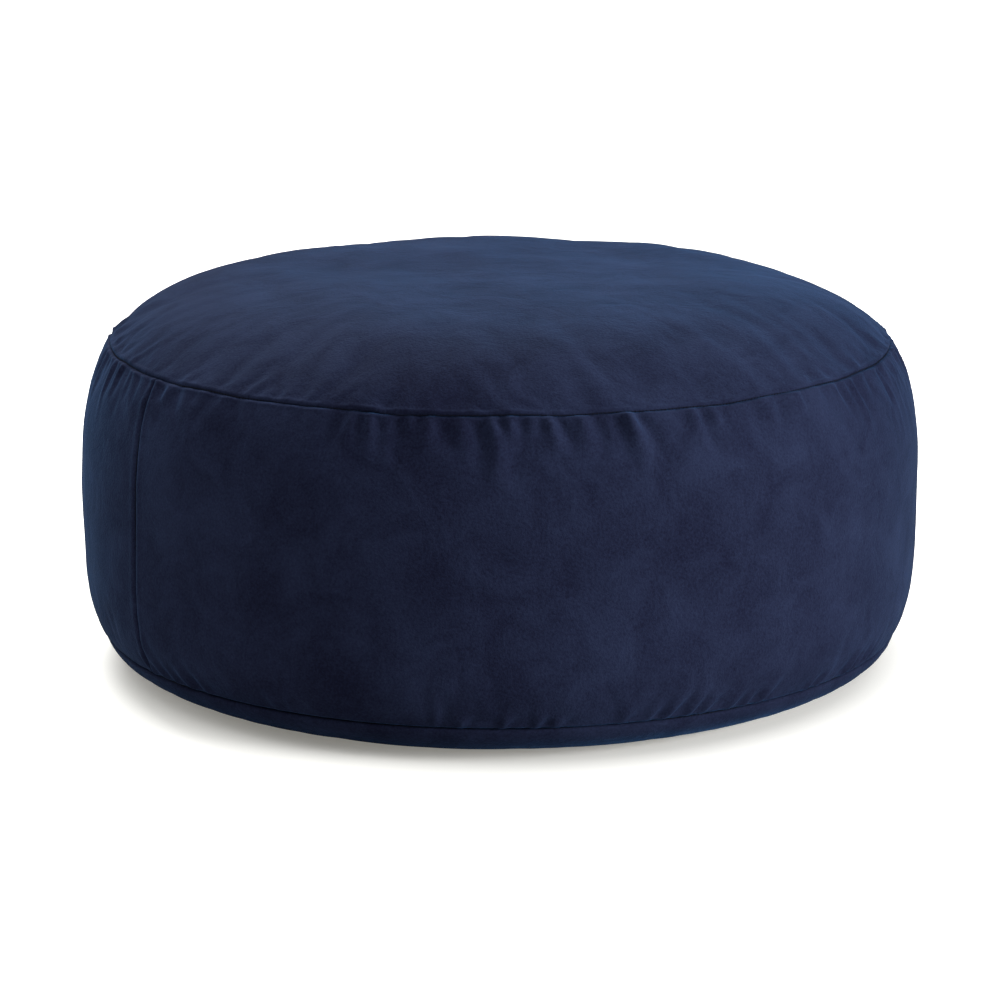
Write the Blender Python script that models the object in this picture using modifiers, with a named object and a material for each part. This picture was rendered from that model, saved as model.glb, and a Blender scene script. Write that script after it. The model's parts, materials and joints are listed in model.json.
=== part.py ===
"""A large round floor cushion: a zip-off fabric cover over a sewn inner bag of loose bead filling.

All lengths are in metres and +Z is up. The cushion stands on its base with its axis on Z, and the
front faces -Y. Every layer follows one meridian line, drawn from the middle of the top, over the
top seam, down the barrel-shaped wall, round the base seam and in to the middle of the base. The
soft layers are turned from that line in a seam frame, an empty that carries them round so that
the visible side seam lies at the left of the front.
"""

import math

import bmesh
import bpy
from mathutils import Matrix, Vector

# Overall form
WIDEST_DIAMETER = 0.800
CROWN_RISE = 0.061
WALL_HEIGHT = 0.273
BASE_RISE = 0.036
WIDEST_ABOVE_BASE_SEAM = 0.1015
TOP_SEAM_INSET = 0.0284
BASE_SEAM_INSET = 0.0172
BASE_ROLL = 0.083
CROWN_POWER = 5.7
WALL_POWER = 4.0
SIDE_SEAM_DEGREES = -145.0
STEP_DEGREES = 7.5

# Layers, seams and threads
COVER_THICKNESS = 0.0016
LINER_THICKNESS = 0.0008
GAP = 0.0003
SEAM_ALLOWANCE = 0.010
COVER_THREAD_RADIUS = 0.0003
LINER_THREAD_RADIUS = 0.0002

# Zip in the base seam, as angles from the left side seam
ZIP_START_DEGREES = 195.0
ZIP_SWEEP_DEGREES = 120.0
ZIP_WINDOW = 0.008
TAPE_WIDTH = 0.012
TAPE_THICKNESS = 0.0008
TAPE_OVERRUN = 0.008
COIL_RADIUS = 0.0011
COIL_STEP_DEGREES = 2.5
STOP_LENGTH = 0.0025
STOP_CLASP = 0.00025
STOP_RECESS = 0.0002

# Slider and its pull
SLIDER_LENGTH = 0.011
SLIDER_WALL = 0.0008
SLIDER_CLEARANCE = 0.0004
FLANGE_DEPTH = 0.0015
ARCH_LENGTH = 0.009
ARCH_WIDTH = 0.002
ARCH_WALL = 0.001
PULL_LENGTH = 0.030
PULL_WIDTH = 0.0065
PULL_THICKNESS = 0.0012
EYE_LENGTH = 0.0056
EYE_WIDTH = 0.0028
EYE_RAIL = 0.0010

# Care label
LABEL_WIDTH = 0.030
LABEL_LENGTH = 0.024
LABEL_THICKNESS = 0.0005

# Worked out from the sizes above
WIDEST_RADIUS = WIDEST_DIAMETER / 2
TOP_SEAM_RADIUS = WIDEST_RADIUS - TOP_SEAM_INSET
BASE_SEAM_RADIUS = WIDEST_RADIUS - BASE_SEAM_INSET
TOP_SEAM_HEIGHT = BASE_RISE + WALL_HEIGHT
FLOOR_RADIUS = BASE_SEAM_RADIUS - BASE_ROLL
STEPS = round(360 / STEP_DEGREES)
SNUG = COVER_THICKNESS + GAP
BEHIND_SEAMS = 2 * SNUG
COVER_GROOVE = 2 * COVER_THREAD_RADIUS + 2 * GAP
LINER_GROOVE = 2 * LINER_THREAD_RADIUS + 2 * GAP
COIL_OFFSET = COIL_RADIUS + GAP / 2

COLOURS = {
    "suede": ((0.010, 0.022, 0.070), 0.85, 0.0),
    "cover_thread": ((0.006, 0.012, 0.040), 0.6, 0.0),
    "zip_tape": ((0.008, 0.014, 0.040), 0.9, 0.0),
    "zip_coil": ((0.012, 0.018, 0.045), 0.4, 0.0),
    "zip_metal": ((0.55, 0.55, 0.56), 0.3, 1.0),
    "label": ((0.80, 0.80, 0.78), 0.7, 0.0),
    "liner": ((0.75, 0.74, 0.70), 0.9, 0.0),
    "beads": ((0.90, 0.90, 0.88), 0.6, 0.0),
}


# Meridian lines: lists of Vector((radius, height)) running from the top middle downwards

def crown_line():
    """The top panel's line, from the axis out to the top seam."""
    line = []
    for share in (0.0, 0.40, 0.65, 0.82, 0.93, 1.0):
        height = TOP_SEAM_HEIGHT + CROWN_RISE * (1 - share**CROWN_POWER)
        line.append(Vector((TOP_SEAM_RADIUS * share, height)))
    return line


def wall_line():
    """The wall's barrel line, from the top seam down to the base seam."""
    line = []
    above = WALL_HEIGHT - WIDEST_ABOVE_BASE_SEAM
    for share in (1.0, 0.87, 0.68, 0.40, 0.0):
        radius = WIDEST_RADIUS - TOP_SEAM_INSET * share**WALL_POWER
        line.append(Vector((radius, BASE_RISE + WIDEST_ABOVE_BASE_SEAM + above * share)))
    for share in (0.45, 0.75, 1.0):
        radius = WIDEST_RADIUS - BASE_SEAM_INSET * share**WALL_POWER
        line.append(Vector((radius, BASE_RISE + WIDEST_ABOVE_BASE_SEAM * (1 - share))))
    return line


def base_line():
    """The base panel's line, from the base seam round to the floor and in to the axis."""
    line = []
    for turn in (0, 25, 50, 70, 90):
        angle = math.radians(turn)
        radius = FLOOR_RADIUS + BASE_ROLL * math.cos(angle)
        line.append(Vector((radius, BASE_RISE * (1 - math.sin(angle)))))
    line.append(Vector((0.0, 0.0)))
    return line


def inward(start, end):
    """The unit normal that points into the cushion from a stretch of meridian line."""
    along = (end - start).normalized()
    return Vector((along.y, -along.x))


def offset_line(line, depths):
    """The line moved inwards by one depth, or by a depth for each of its points."""
    if not isinstance(depths, list):
        depths = [depths] * len(line)
    moved = []
    for index, (point, depth) in enumerate(zip(line, depths)):
        before = inward(line[max(index - 1, 0)], line[max(index, 1)])
        last = len(line) - 1
        after = inward(line[min(index, last - 1)], line[min(index + 1, last)])
        mitre = (before + after) / (1 + before.dot(after))
        place = point + mitre * depth
        if point.x == 0:
            place.x = 0
        moved.append(place)
    return moved


def trimmed(line, at_start, at_end):
    """The line with a little taken off each end."""
    first = line[0] + (line[1] - line[0]).normalized() * at_start
    last = line[-1] + (line[-2] - line[-1]).normalized() * at_end
    return [first] + line[1:-1] + [last]


def first_stretch(line, length):
    """The first part of the line, of the given length."""
    part = [line[0]]
    left = length
    for start, end in zip(line, line[1:]):
        run = (end - start).length
        if run >= left:
            part.append(start + (end - start) * (left / run))
            return part
        part.append(end)
        left -= run
    return part


def last_stretch(line, length):
    """The last part of the line, of the given length."""
    return first_stretch(line[::-1], length)[::-1]


def layer(line, thickness):
    """The outline of a layer whose outer side is the line. One that ends on the axis starts there."""
    inner = offset_line(line, thickness)[::-1]
    return inner + line if line[-1].x == 0 else line + inner


# Materials, collections and objects

def material(slot):
    """The named Principled material, made the first time it is asked for."""
    found = bpy.data.materials.get(slot)
    if found:
        return found
    colour, roughness, metallic = COLOURS[slot]
    made = bpy.data.materials.new(slot)
    made.use_nodes = True
    shader = made.node_tree.nodes["Principled BSDF"]
    shader.inputs["Base Color"].default_value = (*colour, 1.0)
    shader.inputs["Roughness"].default_value = roughness
    shader.inputs["Metallic"].default_value = metallic
    return made


def collection(name):
    """A collection in the scene, made the first time it is asked for."""
    found = bpy.data.collections.get(name)
    if found:
        return found
    made = bpy.data.collections.new(name)
    bpy.context.scene.collection.children.link(made)
    return made


def place(name, data, slot, parent):
    """Adds a part with its own copy of a material, carried by its parent."""
    part = bpy.data.objects.new(name, data)
    own = material(slot).copy()
    own.name = f"{name}_{slot}"
    data.materials.append(own)
    collection("floor_cushion").objects.link(part)
    part.parent = parent
    return part


def place_cutter(name, data, parent):
    """Adds a cutter, which is left out of the cushion itself."""
    cutter = bpy.data.objects.new(name, data)
    cutter.hide_render = True
    cutter.display_type = "WIRE"
    collection("cutters").objects.link(cutter)
    cutter.parent = parent
    return cutter


def cut(part, cutter, operation="DIFFERENCE"):
    """Adds an exact Boolean to a part."""
    boolean = part.modifiers.new(cutter.name, "BOOLEAN")
    boolean.operation = operation
    boolean.solver = "EXACT"
    boolean.object = cutter


def baked(holder):
    """The mesh of an object with its modifiers applied, and the object gone."""
    graph = bpy.context.evaluated_depsgraph_get()
    mesh = bpy.data.meshes.new_from_object(holder.evaluated_get(graph))
    mesh.transform(holder.matrix_world)
    bpy.data.objects.remove(holder)
    return mesh


def outline_mesh(name, outline, closed):
    """A wire mesh of a meridian outline in the XZ plane."""
    shape = bmesh.new()
    corners = [shape.verts.new((point.x, 0, point.y)) for point in outline]
    ends = corners[1:] + corners[:1] if closed else corners[1:]
    for start, end in zip(corners, ends):
        shape.edges.new((start, end))
    mesh = bpy.data.meshes.new(name)
    shape.to_mesh(mesh)
    shape.free()
    return mesh


def turn_outline(part):
    """Turns a wire outline once round Z with a Screw modifier."""
    screw = part.modifiers.new("turn", "SCREW")
    screw.axis = "Z"
    screw.angle = math.tau
    screw.screw_offset = 0
    screw.steps = STEPS
    screw.render_steps = screw.steps
    screw.use_merge_vertices = True
    screw.merge_threshold = 0.00001
    screw.use_smooth_shade = False


def turned(name, outline, slot, parent, closed=True):
    """A part that is turned all the way round."""
    part = place(name, outline_mesh(name, outline, closed), slot, parent)
    turn_outline(part)
    return part


def ring_mesh(name, outline):
    """The mesh of a closed outline turned all the way round."""
    holder = bpy.data.objects.new(name, outline_mesh(name, outline, True))
    bpy.context.scene.collection.objects.link(holder)
    turn_outline(holder)
    bpy.context.view_layer.update()
    return baked(holder)


def arc_mesh(name, outline, start, end):
    """A turned mesh kept only between two angles less than half a turn apart, with its ends closed."""
    mesh = ring_mesh(name, outline)
    for angle, side in ((start, -1), (end, 1)):
        turn = math.radians(angle)
        slice_mesh(mesh, (0, 0, 0), (-side * math.sin(turn), side * math.cos(turn), 0))
    return mesh


def slice_mesh(mesh, point, away):
    """Removes what lies beyond a plane, on the side that the vector points to, and closes the cut."""
    shape = bmesh.new()
    shape.from_mesh(mesh)
    everything = shape.verts[:] + shape.edges[:] + shape.faces[:]
    bmesh.ops.bisect_plane(
        shape, geom=everything, dist=1e-7, plane_co=point, plane_no=away, clear_outer=True
    )
    rim = [edge for edge in shape.edges if edge.is_boundary]
    bmesh.ops.holes_fill(shape, edges=rim, sides=0)
    bmesh.ops.recalc_face_normals(shape, faces=shape.faces)
    shape.to_mesh(mesh)
    shape.free()


def tube(name, points, radius, slot, parent, ring=False):
    """A thread or cord through points given in the parent's frame."""
    curve = bpy.data.curves.new(name, "CURVE")
    curve.dimensions = "3D"
    curve.bevel_depth = radius
    curve.bevel_resolution = 1
    curve.use_fill_caps = True
    spline = curve.splines.new("POLY")
    spline.points.add(len(points) - 1)
    for target, point in zip(spline.points, points):
        target.co = (*point, 1)
    spline.use_cyclic_u = ring
    return place(name, curve, slot, parent)


def extruded(name, outlines, thickness):
    """A flat outline with any holes, in the XY plane, filled and given its thickness about that plane."""
    curve = bpy.data.curves.new(name, "CURVE")
    curve.dimensions = "2D"
    curve.fill_mode = "BOTH"
    curve.extrude = thickness / 2
    for outline in outlines:
        spline = curve.splines.new("POLY")
        spline.points.add(len(outline) - 1)
        for target, (x, y) in zip(spline.points, outline):
            target.co = (x, y, 0, 1)
        spline.use_cyclic_u = True
    holder = bpy.data.objects.new(name, curve)
    bpy.context.scene.collection.objects.link(holder)
    bpy.context.view_layer.update()
    mesh = baked(holder)
    shape = bmesh.new()
    shape.from_mesh(mesh)
    bmesh.ops.remove_doubles(shape, verts=shape.verts, dist=1e-6)
    bmesh.ops.recalc_face_normals(shape, faces=shape.faces)
    shape.to_mesh(mesh)
    shape.free()
    return mesh


def on_facets(point, degrees):
    """A point of a meridian line carried round to an angle, on the flat facets between the steps."""
    half = math.radians(STEP_DEGREES / 2)
    past = math.radians(degrees % STEP_DEGREES) - half
    radius = point.x * math.cos(half) / math.cos(past)
    angle = math.radians(degrees)
    return Vector((radius * math.cos(angle), radius * math.sin(angle), point.y))


def on_circle(point, degrees):
    """A point of a meridian line carried round to an angle."""
    angle = math.radians(degrees)
    return Vector((point.x * math.cos(angle), point.x * math.sin(angle), point.y))


def angles_between(start, end, step):
    """The start, every whole step after it, and the end."""
    count = math.floor((end - start) / step - 1e-6)
    inner = [start + step * (index + 1) for index in range(count)]
    return [start] + inner + [end]


# The cover

def top_lip():
    """The top panel's seam allowance, turned down behind the wall."""
    return first_stretch(offset_line(wall_line(), SNUG), SEAM_ALLOWANCE)


def base_lip():
    """The base panel's seam allowance, turned up behind the wall."""
    return last_stretch(offset_line(wall_line(), SNUG), SEAM_ALLOWANCE)


def make_top_panel(seam_frame):
    """The crowned disc of the top, with its seam allowance."""
    outline = layer(crown_line() + top_lip(), COVER_THICKNESS)
    turned("top_panel", outline, "suede", seam_frame, closed=False)


def make_base_panel(seam_frame):
    """The disc that the cushion stands on, rolled up to the base seam."""
    outline = layer(base_lip() + base_line(), COVER_THICKNESS)
    panel = turned("base_panel", outline, "suede", seam_frame, closed=False)
    below = ZIP_WINDOW / 2
    above = SEAM_ALLOWANCE + BEHIND_SEAMS
    reach = zip_turn(GAP)
    ends = (ZIP_START_DEGREES - reach, ZIP_START_DEGREES + ZIP_SWEEP_DEGREES + reach)
    cut(panel, zip_cutter("base_panel_zip_cutter", seam_frame, above, below, ends))


def make_side_panels(seam_frame):
    """The two halves of the wall, which meet at the two side seams."""
    outline = layer(trimmed(wall_line(), COVER_GROOVE, COVER_GROOVE), COVER_THICKNESS)
    for name, side in (("side_panel_front", -1), ("side_panel_rear", 1)):
        mesh = ring_mesh(name, outline)
        slice_mesh(mesh, (0, -side * COVER_GROOVE / 2, 0), (0, side, 0))
        panel = place(name, mesh, "suede", seam_frame)
    half = ZIP_WINDOW / 2
    cut(panel, zip_cutter("side_panel_zip_cutter", seam_frame, half, half, window_ends()))


def make_cover_threads(seam_frame):
    """The rows of thread in the top seam, the base seam and the two side seams."""
    centre = COVER_THREAD_RADIUS + GAP
    wall = offset_line(wall_line(), centre)
    top = first_stretch(wall, centre)[-1]
    base = last_stretch(wall, centre)[0]
    ring = [on_facets(top, STEP_DEGREES * step) for step in range(STEPS)]
    tube("top_seam_thread", ring, COVER_THREAD_RADIUS, "cover_thread", seam_frame, ring=True)
    first = ZIP_START_DEGREES + ZIP_SWEEP_DEGREES
    route = [on_facets(base, angle) for angle in thread_angles(first, ZIP_START_DEGREES + 360)]
    tube("base_seam_thread", route, COVER_THREAD_RADIUS, "cover_thread", seam_frame)
    clear = COVER_GROOVE + COVER_THREAD_RADIUS
    for name, degrees in (("left", 0), ("right", 180)):
        line = [on_circle(point, degrees) for point in trimmed(wall, clear, clear)]
        tube(f"side_seam_thread_{name}", line, COVER_THREAD_RADIUS, "cover_thread", seam_frame)


def thread_angles(start, end):
    """The ends of a thread and the facet corners between them."""
    first = math.ceil(start / STEP_DEGREES + 1e-6)
    last = math.floor(end / STEP_DEGREES - 1e-6)
    return [start] + [STEP_DEGREES * step for step in range(first, last + 1)] + [end]


# The zip

def zip_turn(length):
    """The angle in degrees that a length takes along the base seam."""
    return math.degrees(length / BASE_SEAM_RADIUS)


def window_ends():
    """The angles between which the wall and base are parted round the coils."""
    reach = zip_turn(TAPE_OVERRUN)
    return ZIP_START_DEGREES + reach, ZIP_START_DEGREES + ZIP_SWEEP_DEGREES - reach


def zip_axes():
    """The zip's plane at the base seam: the way up it, and the way out of it."""
    wall = wall_line()
    base = base_line()
    up = ((wall[-2] - wall[-1]).normalized() + (base[0] - base[1]).normalized()).normalized()
    return up, Vector((up.y, -up.x))


def at_zip(up_by, out_by):
    """A point of the meridian plane, measured from the base seam in the zip's plane."""
    up, out = zip_axes()
    return base_line()[0] + up * up_by + out * out_by


def zip_cutter(name, seam_frame, above, below, ends):
    """A curved bar along the base seam, through all the layers of the cover."""
    reach = 2 * BEHIND_SEAMS
    corners = ((above, reach), (-below, reach), (-below, -reach), (above, -reach))
    outline = [at_zip(*corner) for corner in corners]
    return place_cutter(name, arc_mesh(name, outline, *ends), seam_frame)


def make_zip_tapes(seam_frame):
    """The two woven tapes, one behind the wall's edge and one behind the base panel's."""
    wall = trimmed(wall_line(), 0, GAP)
    base = trimmed(base_line(), GAP, 0)
    upper = last_stretch(offset_line(wall, SNUG), TAPE_WIDTH)
    lower = first_stretch(offset_line(base, SNUG), TAPE_WIDTH)
    ends = (ZIP_START_DEGREES, ZIP_START_DEGREES + ZIP_SWEEP_DEGREES)
    for name, line in (("zip_tape_upper", upper), ("zip_tape_lower", lower)):
        place(name, arc_mesh(name, layer(line, TAPE_THICKNESS), *ends), "zip_tape", seam_frame)


def coil_centre(side):
    """Where a coil lies in the meridian plane, on the face of its tape: side is 1 above, -1 below."""
    line = wall_line()[::-1] if side > 0 else base_line()
    along = (line[1] - line[0]).normalized()
    out = Vector((along.y, -along.x)) * side
    tape_edge = line[0] - out * SNUG
    return tape_edge + along * COIL_OFFSET + out * (COIL_RADIUS + GAP)


def coil_ends():
    """The angles between which the coils run, clear of the stops."""
    start, end = window_ends()
    reach = zip_turn(STOP_LENGTH + 2 * GAP)
    return start + reach, end - reach


def make_zip_coils(seam_frame):
    """The two coils of the zip, closed along their whole length."""
    angles = angles_between(*coil_ends(), COIL_STEP_DEGREES)
    for name, side in (("zip_coil_upper", 1), ("zip_coil_lower", -1)):
        route = [on_circle(coil_centre(side), angle) for angle in angles]
        tube(name, route, COIL_RADIUS, "zip_coil", seam_frame)


def zip_matrix(degrees, out_by=0.0):
    """The frame of the zip at an angle: X along the zip, Y up it and Z out of the cover."""
    up, out = zip_axes()
    turn = math.radians(degrees)
    radial = Vector((math.cos(turn), math.sin(turn), 0))
    rise = Vector((0, 0, 1))
    y_axis = radial * up.x + rise * up.y
    z_axis = radial * out.x + rise * out.y
    x_axis = y_axis.cross(z_axis)
    matrix = Matrix((x_axis, y_axis, z_axis)).transposed().to_4x4()
    matrix.translation = on_circle(at_zip(0, out_by), degrees)
    return matrix


def box_mesh(name, size, centre=(0, 0, 0)):
    """A cuboid of the given size about its centre."""
    shape = bmesh.new()
    bmesh.ops.create_cube(shape, size=1)
    bmesh.ops.scale(shape, vec=size, verts=shape.verts)
    bmesh.ops.translate(shape, vec=centre, verts=shape.verts)
    mesh = bpy.data.meshes.new(name)
    shape.to_mesh(mesh)
    shape.free()
    return mesh


def make_zip_stops(seam_frame):
    """The metal clips that close the two ends of the coils."""
    start, end = window_ends()
    reach = zip_turn(STOP_LENGTH / 2 + GAP)
    depth = (coil_centre(1) + coil_centre(-1)) / 2 - at_zip(0, 0)
    out_by = depth.dot(zip_axes()[1])
    width = 2 * (coil_half_width() + STOP_CLASP)
    thickness = 2 * (COIL_RADIUS - STOP_RECESS)
    for name, degrees in (("zip_start_stop", start + reach), ("zip_end_stop", end - reach)):
        mesh = box_mesh(name, (STOP_LENGTH, width, thickness))
        stop = place(name, mesh, "zip_metal", seam_frame)
        stop.matrix_basis = zip_matrix(degrees, out_by)


def coil_front():
    """How far the coils stand out of the zip's plane at the base seam."""
    depth = (coil_centre(1) + coil_centre(-1)) / 2 - at_zip(0, 0)
    return depth.dot(zip_axes()[1]) + COIL_RADIUS


def coil_half_width():
    """Half the width over both coils."""
    spread = coil_centre(1) - at_zip(0, 0)
    return spread.dot(zip_axes()[0]) + COIL_RADIUS


def slider_rest_degrees():
    """Where the slider stands when the zip is closed, beside the end stop."""
    return coil_ends()[1] - zip_turn(SLIDER_LENGTH / 2 + GAP)


def pivot_height():
    """How far the pull's pivot stands above the slider's plate."""
    return PULL_THICKNESS / math.sqrt(2) + GAP / 2


def slider_sections():
    """The slider's channel section in Y and Z, and its arch section in X and Z."""
    plate = coil_front() + SLIDER_CLEARANCE
    inside = coil_half_width() + SLIDER_CLEARANCE
    outside = inside + SLIDER_WALL
    top = plate + SLIDER_WALL
    foot = coil_front() - FLANGE_DEPTH
    channel = [
        (-outside, foot), (-inside, foot), (-inside, plate), (inside, plate),
        (inside, foot), (outside, foot), (outside, top), (-outside, top),
    ]
    low = top - SLIDER_WALL / 2
    under = top + 2 * pivot_height()
    high = under + ARCH_WALL
    half = ARCH_LENGTH / 2
    post = half - ARCH_WALL
    arch = [
        (-half, low), (-post, low), (-post, under), (post, under),
        (post, low), (half, low), (half, high), (-half, high),
    ]
    return channel, arch


def make_slider(travel_frame):
    """The slider's body, which rides over both coils, with the arch that holds the pull."""
    channel, arch = slider_sections()
    body_mesh = extruded("zip_slider", [channel], SLIDER_LENGTH)
    body_mesh.transform(Matrix(((0, 0, 1, 0), (1, 0, 0, 0), (0, 1, 0, 0), (0, 0, 0, 1))))
    arch_mesh = extruded("zip_slider_arch", [arch], ARCH_WIDTH)
    arch_mesh.transform(Matrix(((1, 0, 0, 0), (0, 0, -1, 0), (0, 1, 0, 0), (0, 0, 0, 1))))
    seat = zip_matrix(0)
    body_mesh.transform(seat)
    arch_mesh.transform(seat)
    slider = place("zip_slider", body_mesh, "zip_metal", travel_frame)
    cut(slider, place_cutter("zip_slider_arch", arch_mesh, travel_frame), "UNION")


def make_pull(travel_frame):
    """The flat pull tab: an eye round the slider's arch, and a tongue that lies back along the zip."""
    inner = PULL_THICKNESS / 2
    eye_end = inner + EYE_LENGTH
    half_eye = EYE_WIDTH / 2
    half_neck = half_eye + EYE_RAIL
    half_tongue = PULL_WIDTH / 2
    tongue_start = eye_end + half_tongue
    round_end = PULL_LENGTH - half_tongue
    outline = [(-inner, -half_neck), (eye_end, -half_neck), (tongue_start, -half_tongue)]
    for turn in range(-90, 91, 30):
        angle = math.radians(turn)
        reach = round_end + half_tongue * math.cos(angle)
        outline.append((reach, half_tongue * math.sin(angle)))
    outline += [(tongue_start, half_tongue), (eye_end, half_neck), (-inner, half_neck)]
    eye = [(inner, -half_eye), (eye_end, -half_eye), (eye_end, half_eye), (inner, half_eye)]
    mesh = extruded("zip_pull", [outline, eye], PULL_THICKNESS)
    pull = place("zip_pull", mesh, "zip_metal", travel_frame)
    plate_top = coil_front() + SLIDER_CLEARANCE + SLIDER_WALL
    lying_back = Matrix.Rotation(math.pi, 4, "Z")
    pull.matrix_basis = zip_matrix(0, plate_top + pivot_height()) @ lying_back


def make_label(seam_frame):
    """The blank care label that hangs from the base seam between the right side seam and the zip."""
    middle = 180 + STEP_DEGREES / 2
    mesh = box_mesh("care_label", (LABEL_THICKNESS, LABEL_WIDTH, LABEL_LENGTH))
    label = place("care_label", mesh, "label", seam_frame)
    flat = BASE_SEAM_RADIUS * math.cos(math.radians(STEP_DEGREES / 2))
    seat = Vector((flat + GAP + LABEL_THICKNESS / 2, BASE_RISE - LABEL_LENGTH / 2))
    label.location = on_circle(seat, middle)
    label.rotation_euler = (0, 0, math.radians(middle))


# The inner bag

def bag_lines():
    """The bag's outer lines for its top, band and base: snug to the cover, and behind its seams."""
    crown = crown_line()
    wall = wall_line()
    base = base_line()
    line = crown + wall[1:] + base[1:]
    depths = [SNUG] * (len(crown) - 2) + [BEHIND_SEAMS] * (len(wall) + len(base) - 2)
    depths += [SNUG] * (len(line) - len(depths))
    moved = offset_line(line, depths)
    top_seam = len(crown) - 1
    base_seam = top_seam + len(wall) - 1
    return moved[: top_seam + 1], moved[top_seam : base_seam + 1], moved[base_seam:]


def make_bag(seam_frame):
    """The inner bag: a top disc, a band with one filling seam, and a base disc."""
    top, band, base = bag_lines()
    groove = LINER_GROOVE / 2
    top_outline = layer(trimmed(top, 0, groove), LINER_THICKNESS)
    base_outline = layer(trimmed(base, groove, 0), LINER_THICKNESS)
    band_outline = layer(trimmed(band, groove, groove), LINER_THICKNESS)
    turned("liner_top_panel", top_outline, "liner", seam_frame, closed=False)
    turned("liner_base_panel", base_outline, "liner", seam_frame, closed=False)
    strip = turned("liner_band", band_outline, "liner", seam_frame)
    slit = box_mesh(
        "liner_filling_slit",
        (WIDEST_RADIUS, LINER_GROOVE, 2 * (WALL_HEIGHT + BASE_RISE)),
        (-WIDEST_RADIUS, 0, TOP_SEAM_HEIGHT),
    )
    cut(strip, place_cutter("liner_filling_slit", slit, seam_frame))


def make_bag_threads(seam_frame):
    """The rows of thread in the bag's two ring seams and its filling seam."""
    depth = LINER_THICKNESS / 2
    band = offset_line(bag_lines()[1], depth)
    for name, point in (("top", band[0]), ("base", band[-1])):
        ring = [on_facets(point, STEP_DEGREES * step) for step in range(STEPS)]
        thread = f"liner_{name}_seam_thread"
        tube(thread, ring, LINER_THREAD_RADIUS, "liner", seam_frame, ring=True)
    clear = LINER_GROOVE
    line = [on_circle(point, 180) for point in trimmed(band, clear, clear)]
    tube("liner_filling_seam_thread", line, LINER_THREAD_RADIUS, "liner", seam_frame)


def make_filling(seam_frame):
    """The loose beads, as the one mass that fills the bag."""
    top, band, base = bag_lines()
    line = offset_line(top + band[1:] + base[1:], LINER_THICKNESS + GAP)
    turned("bead_filling", line, "beads", seam_frame, closed=False)


def make_frame(name, degrees, parent=None):
    """An empty on the cushion's axis, turned about it."""
    frame = bpy.data.objects.new(name, None)
    collection("floor_cushion").objects.link(frame)
    frame.rotation_euler = (0, 0, math.radians(degrees))
    frame.parent = parent
    return frame


def main():
    """Clears the scene and builds the cushion from the outside in."""
    for old in list(bpy.data.objects):
        bpy.data.objects.remove(old)
    seam_frame = make_frame("seam_frame", SIDE_SEAM_DEGREES)
    travel_frame = make_frame("zip_travel_frame", slider_rest_degrees(), seam_frame)
    make_top_panel(seam_frame)
    make_side_panels(seam_frame)
    make_base_panel(seam_frame)
    make_cover_threads(seam_frame)
    make_zip_tapes(seam_frame)
    make_zip_coils(seam_frame)
    make_zip_stops(seam_frame)
    make_slider(travel_frame)
    make_pull(travel_frame)
    make_label(seam_frame)
    make_bag(seam_frame)
    make_bag_threads(seam_frame)
    make_filling(seam_frame)
    bpy.context.view_layer.update()


main()
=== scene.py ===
"""A round floor cushion: a zipped suede cover in four panels, over a liner full of loose beads."""

import json
import logging
import math
from dataclasses import dataclass
from enum import Enum

import bmesh
import bpy
import numpy as np
from bmesh.types import BMesh, BMFace, BMVert
from bpy.types import Material, Mesh, Node, NodeSocket, NodeTree, Object
from mathutils import Matrix, Vector, noise


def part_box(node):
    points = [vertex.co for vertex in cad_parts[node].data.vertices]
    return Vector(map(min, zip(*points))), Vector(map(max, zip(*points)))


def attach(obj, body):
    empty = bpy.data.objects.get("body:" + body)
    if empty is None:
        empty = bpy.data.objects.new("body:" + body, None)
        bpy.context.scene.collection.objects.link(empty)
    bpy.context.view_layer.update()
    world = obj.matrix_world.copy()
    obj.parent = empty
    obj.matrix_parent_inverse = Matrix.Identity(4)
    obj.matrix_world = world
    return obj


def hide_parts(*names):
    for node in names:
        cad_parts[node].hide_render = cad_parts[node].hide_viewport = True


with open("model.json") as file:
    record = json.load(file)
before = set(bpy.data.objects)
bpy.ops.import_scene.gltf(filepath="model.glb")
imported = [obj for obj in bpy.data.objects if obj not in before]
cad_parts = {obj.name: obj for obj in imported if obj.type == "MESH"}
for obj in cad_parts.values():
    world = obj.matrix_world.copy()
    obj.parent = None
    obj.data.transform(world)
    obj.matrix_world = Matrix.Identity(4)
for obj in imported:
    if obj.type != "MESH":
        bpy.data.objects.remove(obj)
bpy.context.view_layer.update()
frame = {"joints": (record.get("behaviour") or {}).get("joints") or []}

LOG = logging.getLogger("floor_cushion")
CUSHION, SLIDER, PULL = "cushion", "slider", "pull"
INSIDE = Vector((0, 0, 0.15))  # a point well inside the cushion


# Helpers


def linear(colour: str) -> tuple[float, float, float, float]:
    """Turn an sRGB hex colour into a linear colour.

    Args:
        colour: The colour, as "#rrggbb".

    Returns:
        Red, green, blue and an alpha of 1.
    """
    parts = [int(colour[i : i + 2], 16) / 255 for i in (1, 3, 5)]
    red, green, blue = (
        part / 12.92 if part <= 0.04045 else ((part + 0.055) / 1.055) ** 2.4 for part in parts
    )
    return red, green, blue, 1.0


def per_metre(millimetres: float) -> float:
    """How many times a pattern of that size in millimetres repeats in a metre."""
    return 1000 / millimetres


def feed(tree: NodeTree, node: Node, inputs: dict) -> None:
    """Feed a node's sockets.

    Args:
        tree: The node tree.
        node: A node in it.
        inputs: A value, or a socket to link, for each input by name or number.
    """
    for name, value in inputs.items():
        if isinstance(value, NodeSocket):
            tree.links.new(value, node.inputs[name])
        else:
            node.inputs[name].default_value = value


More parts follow.
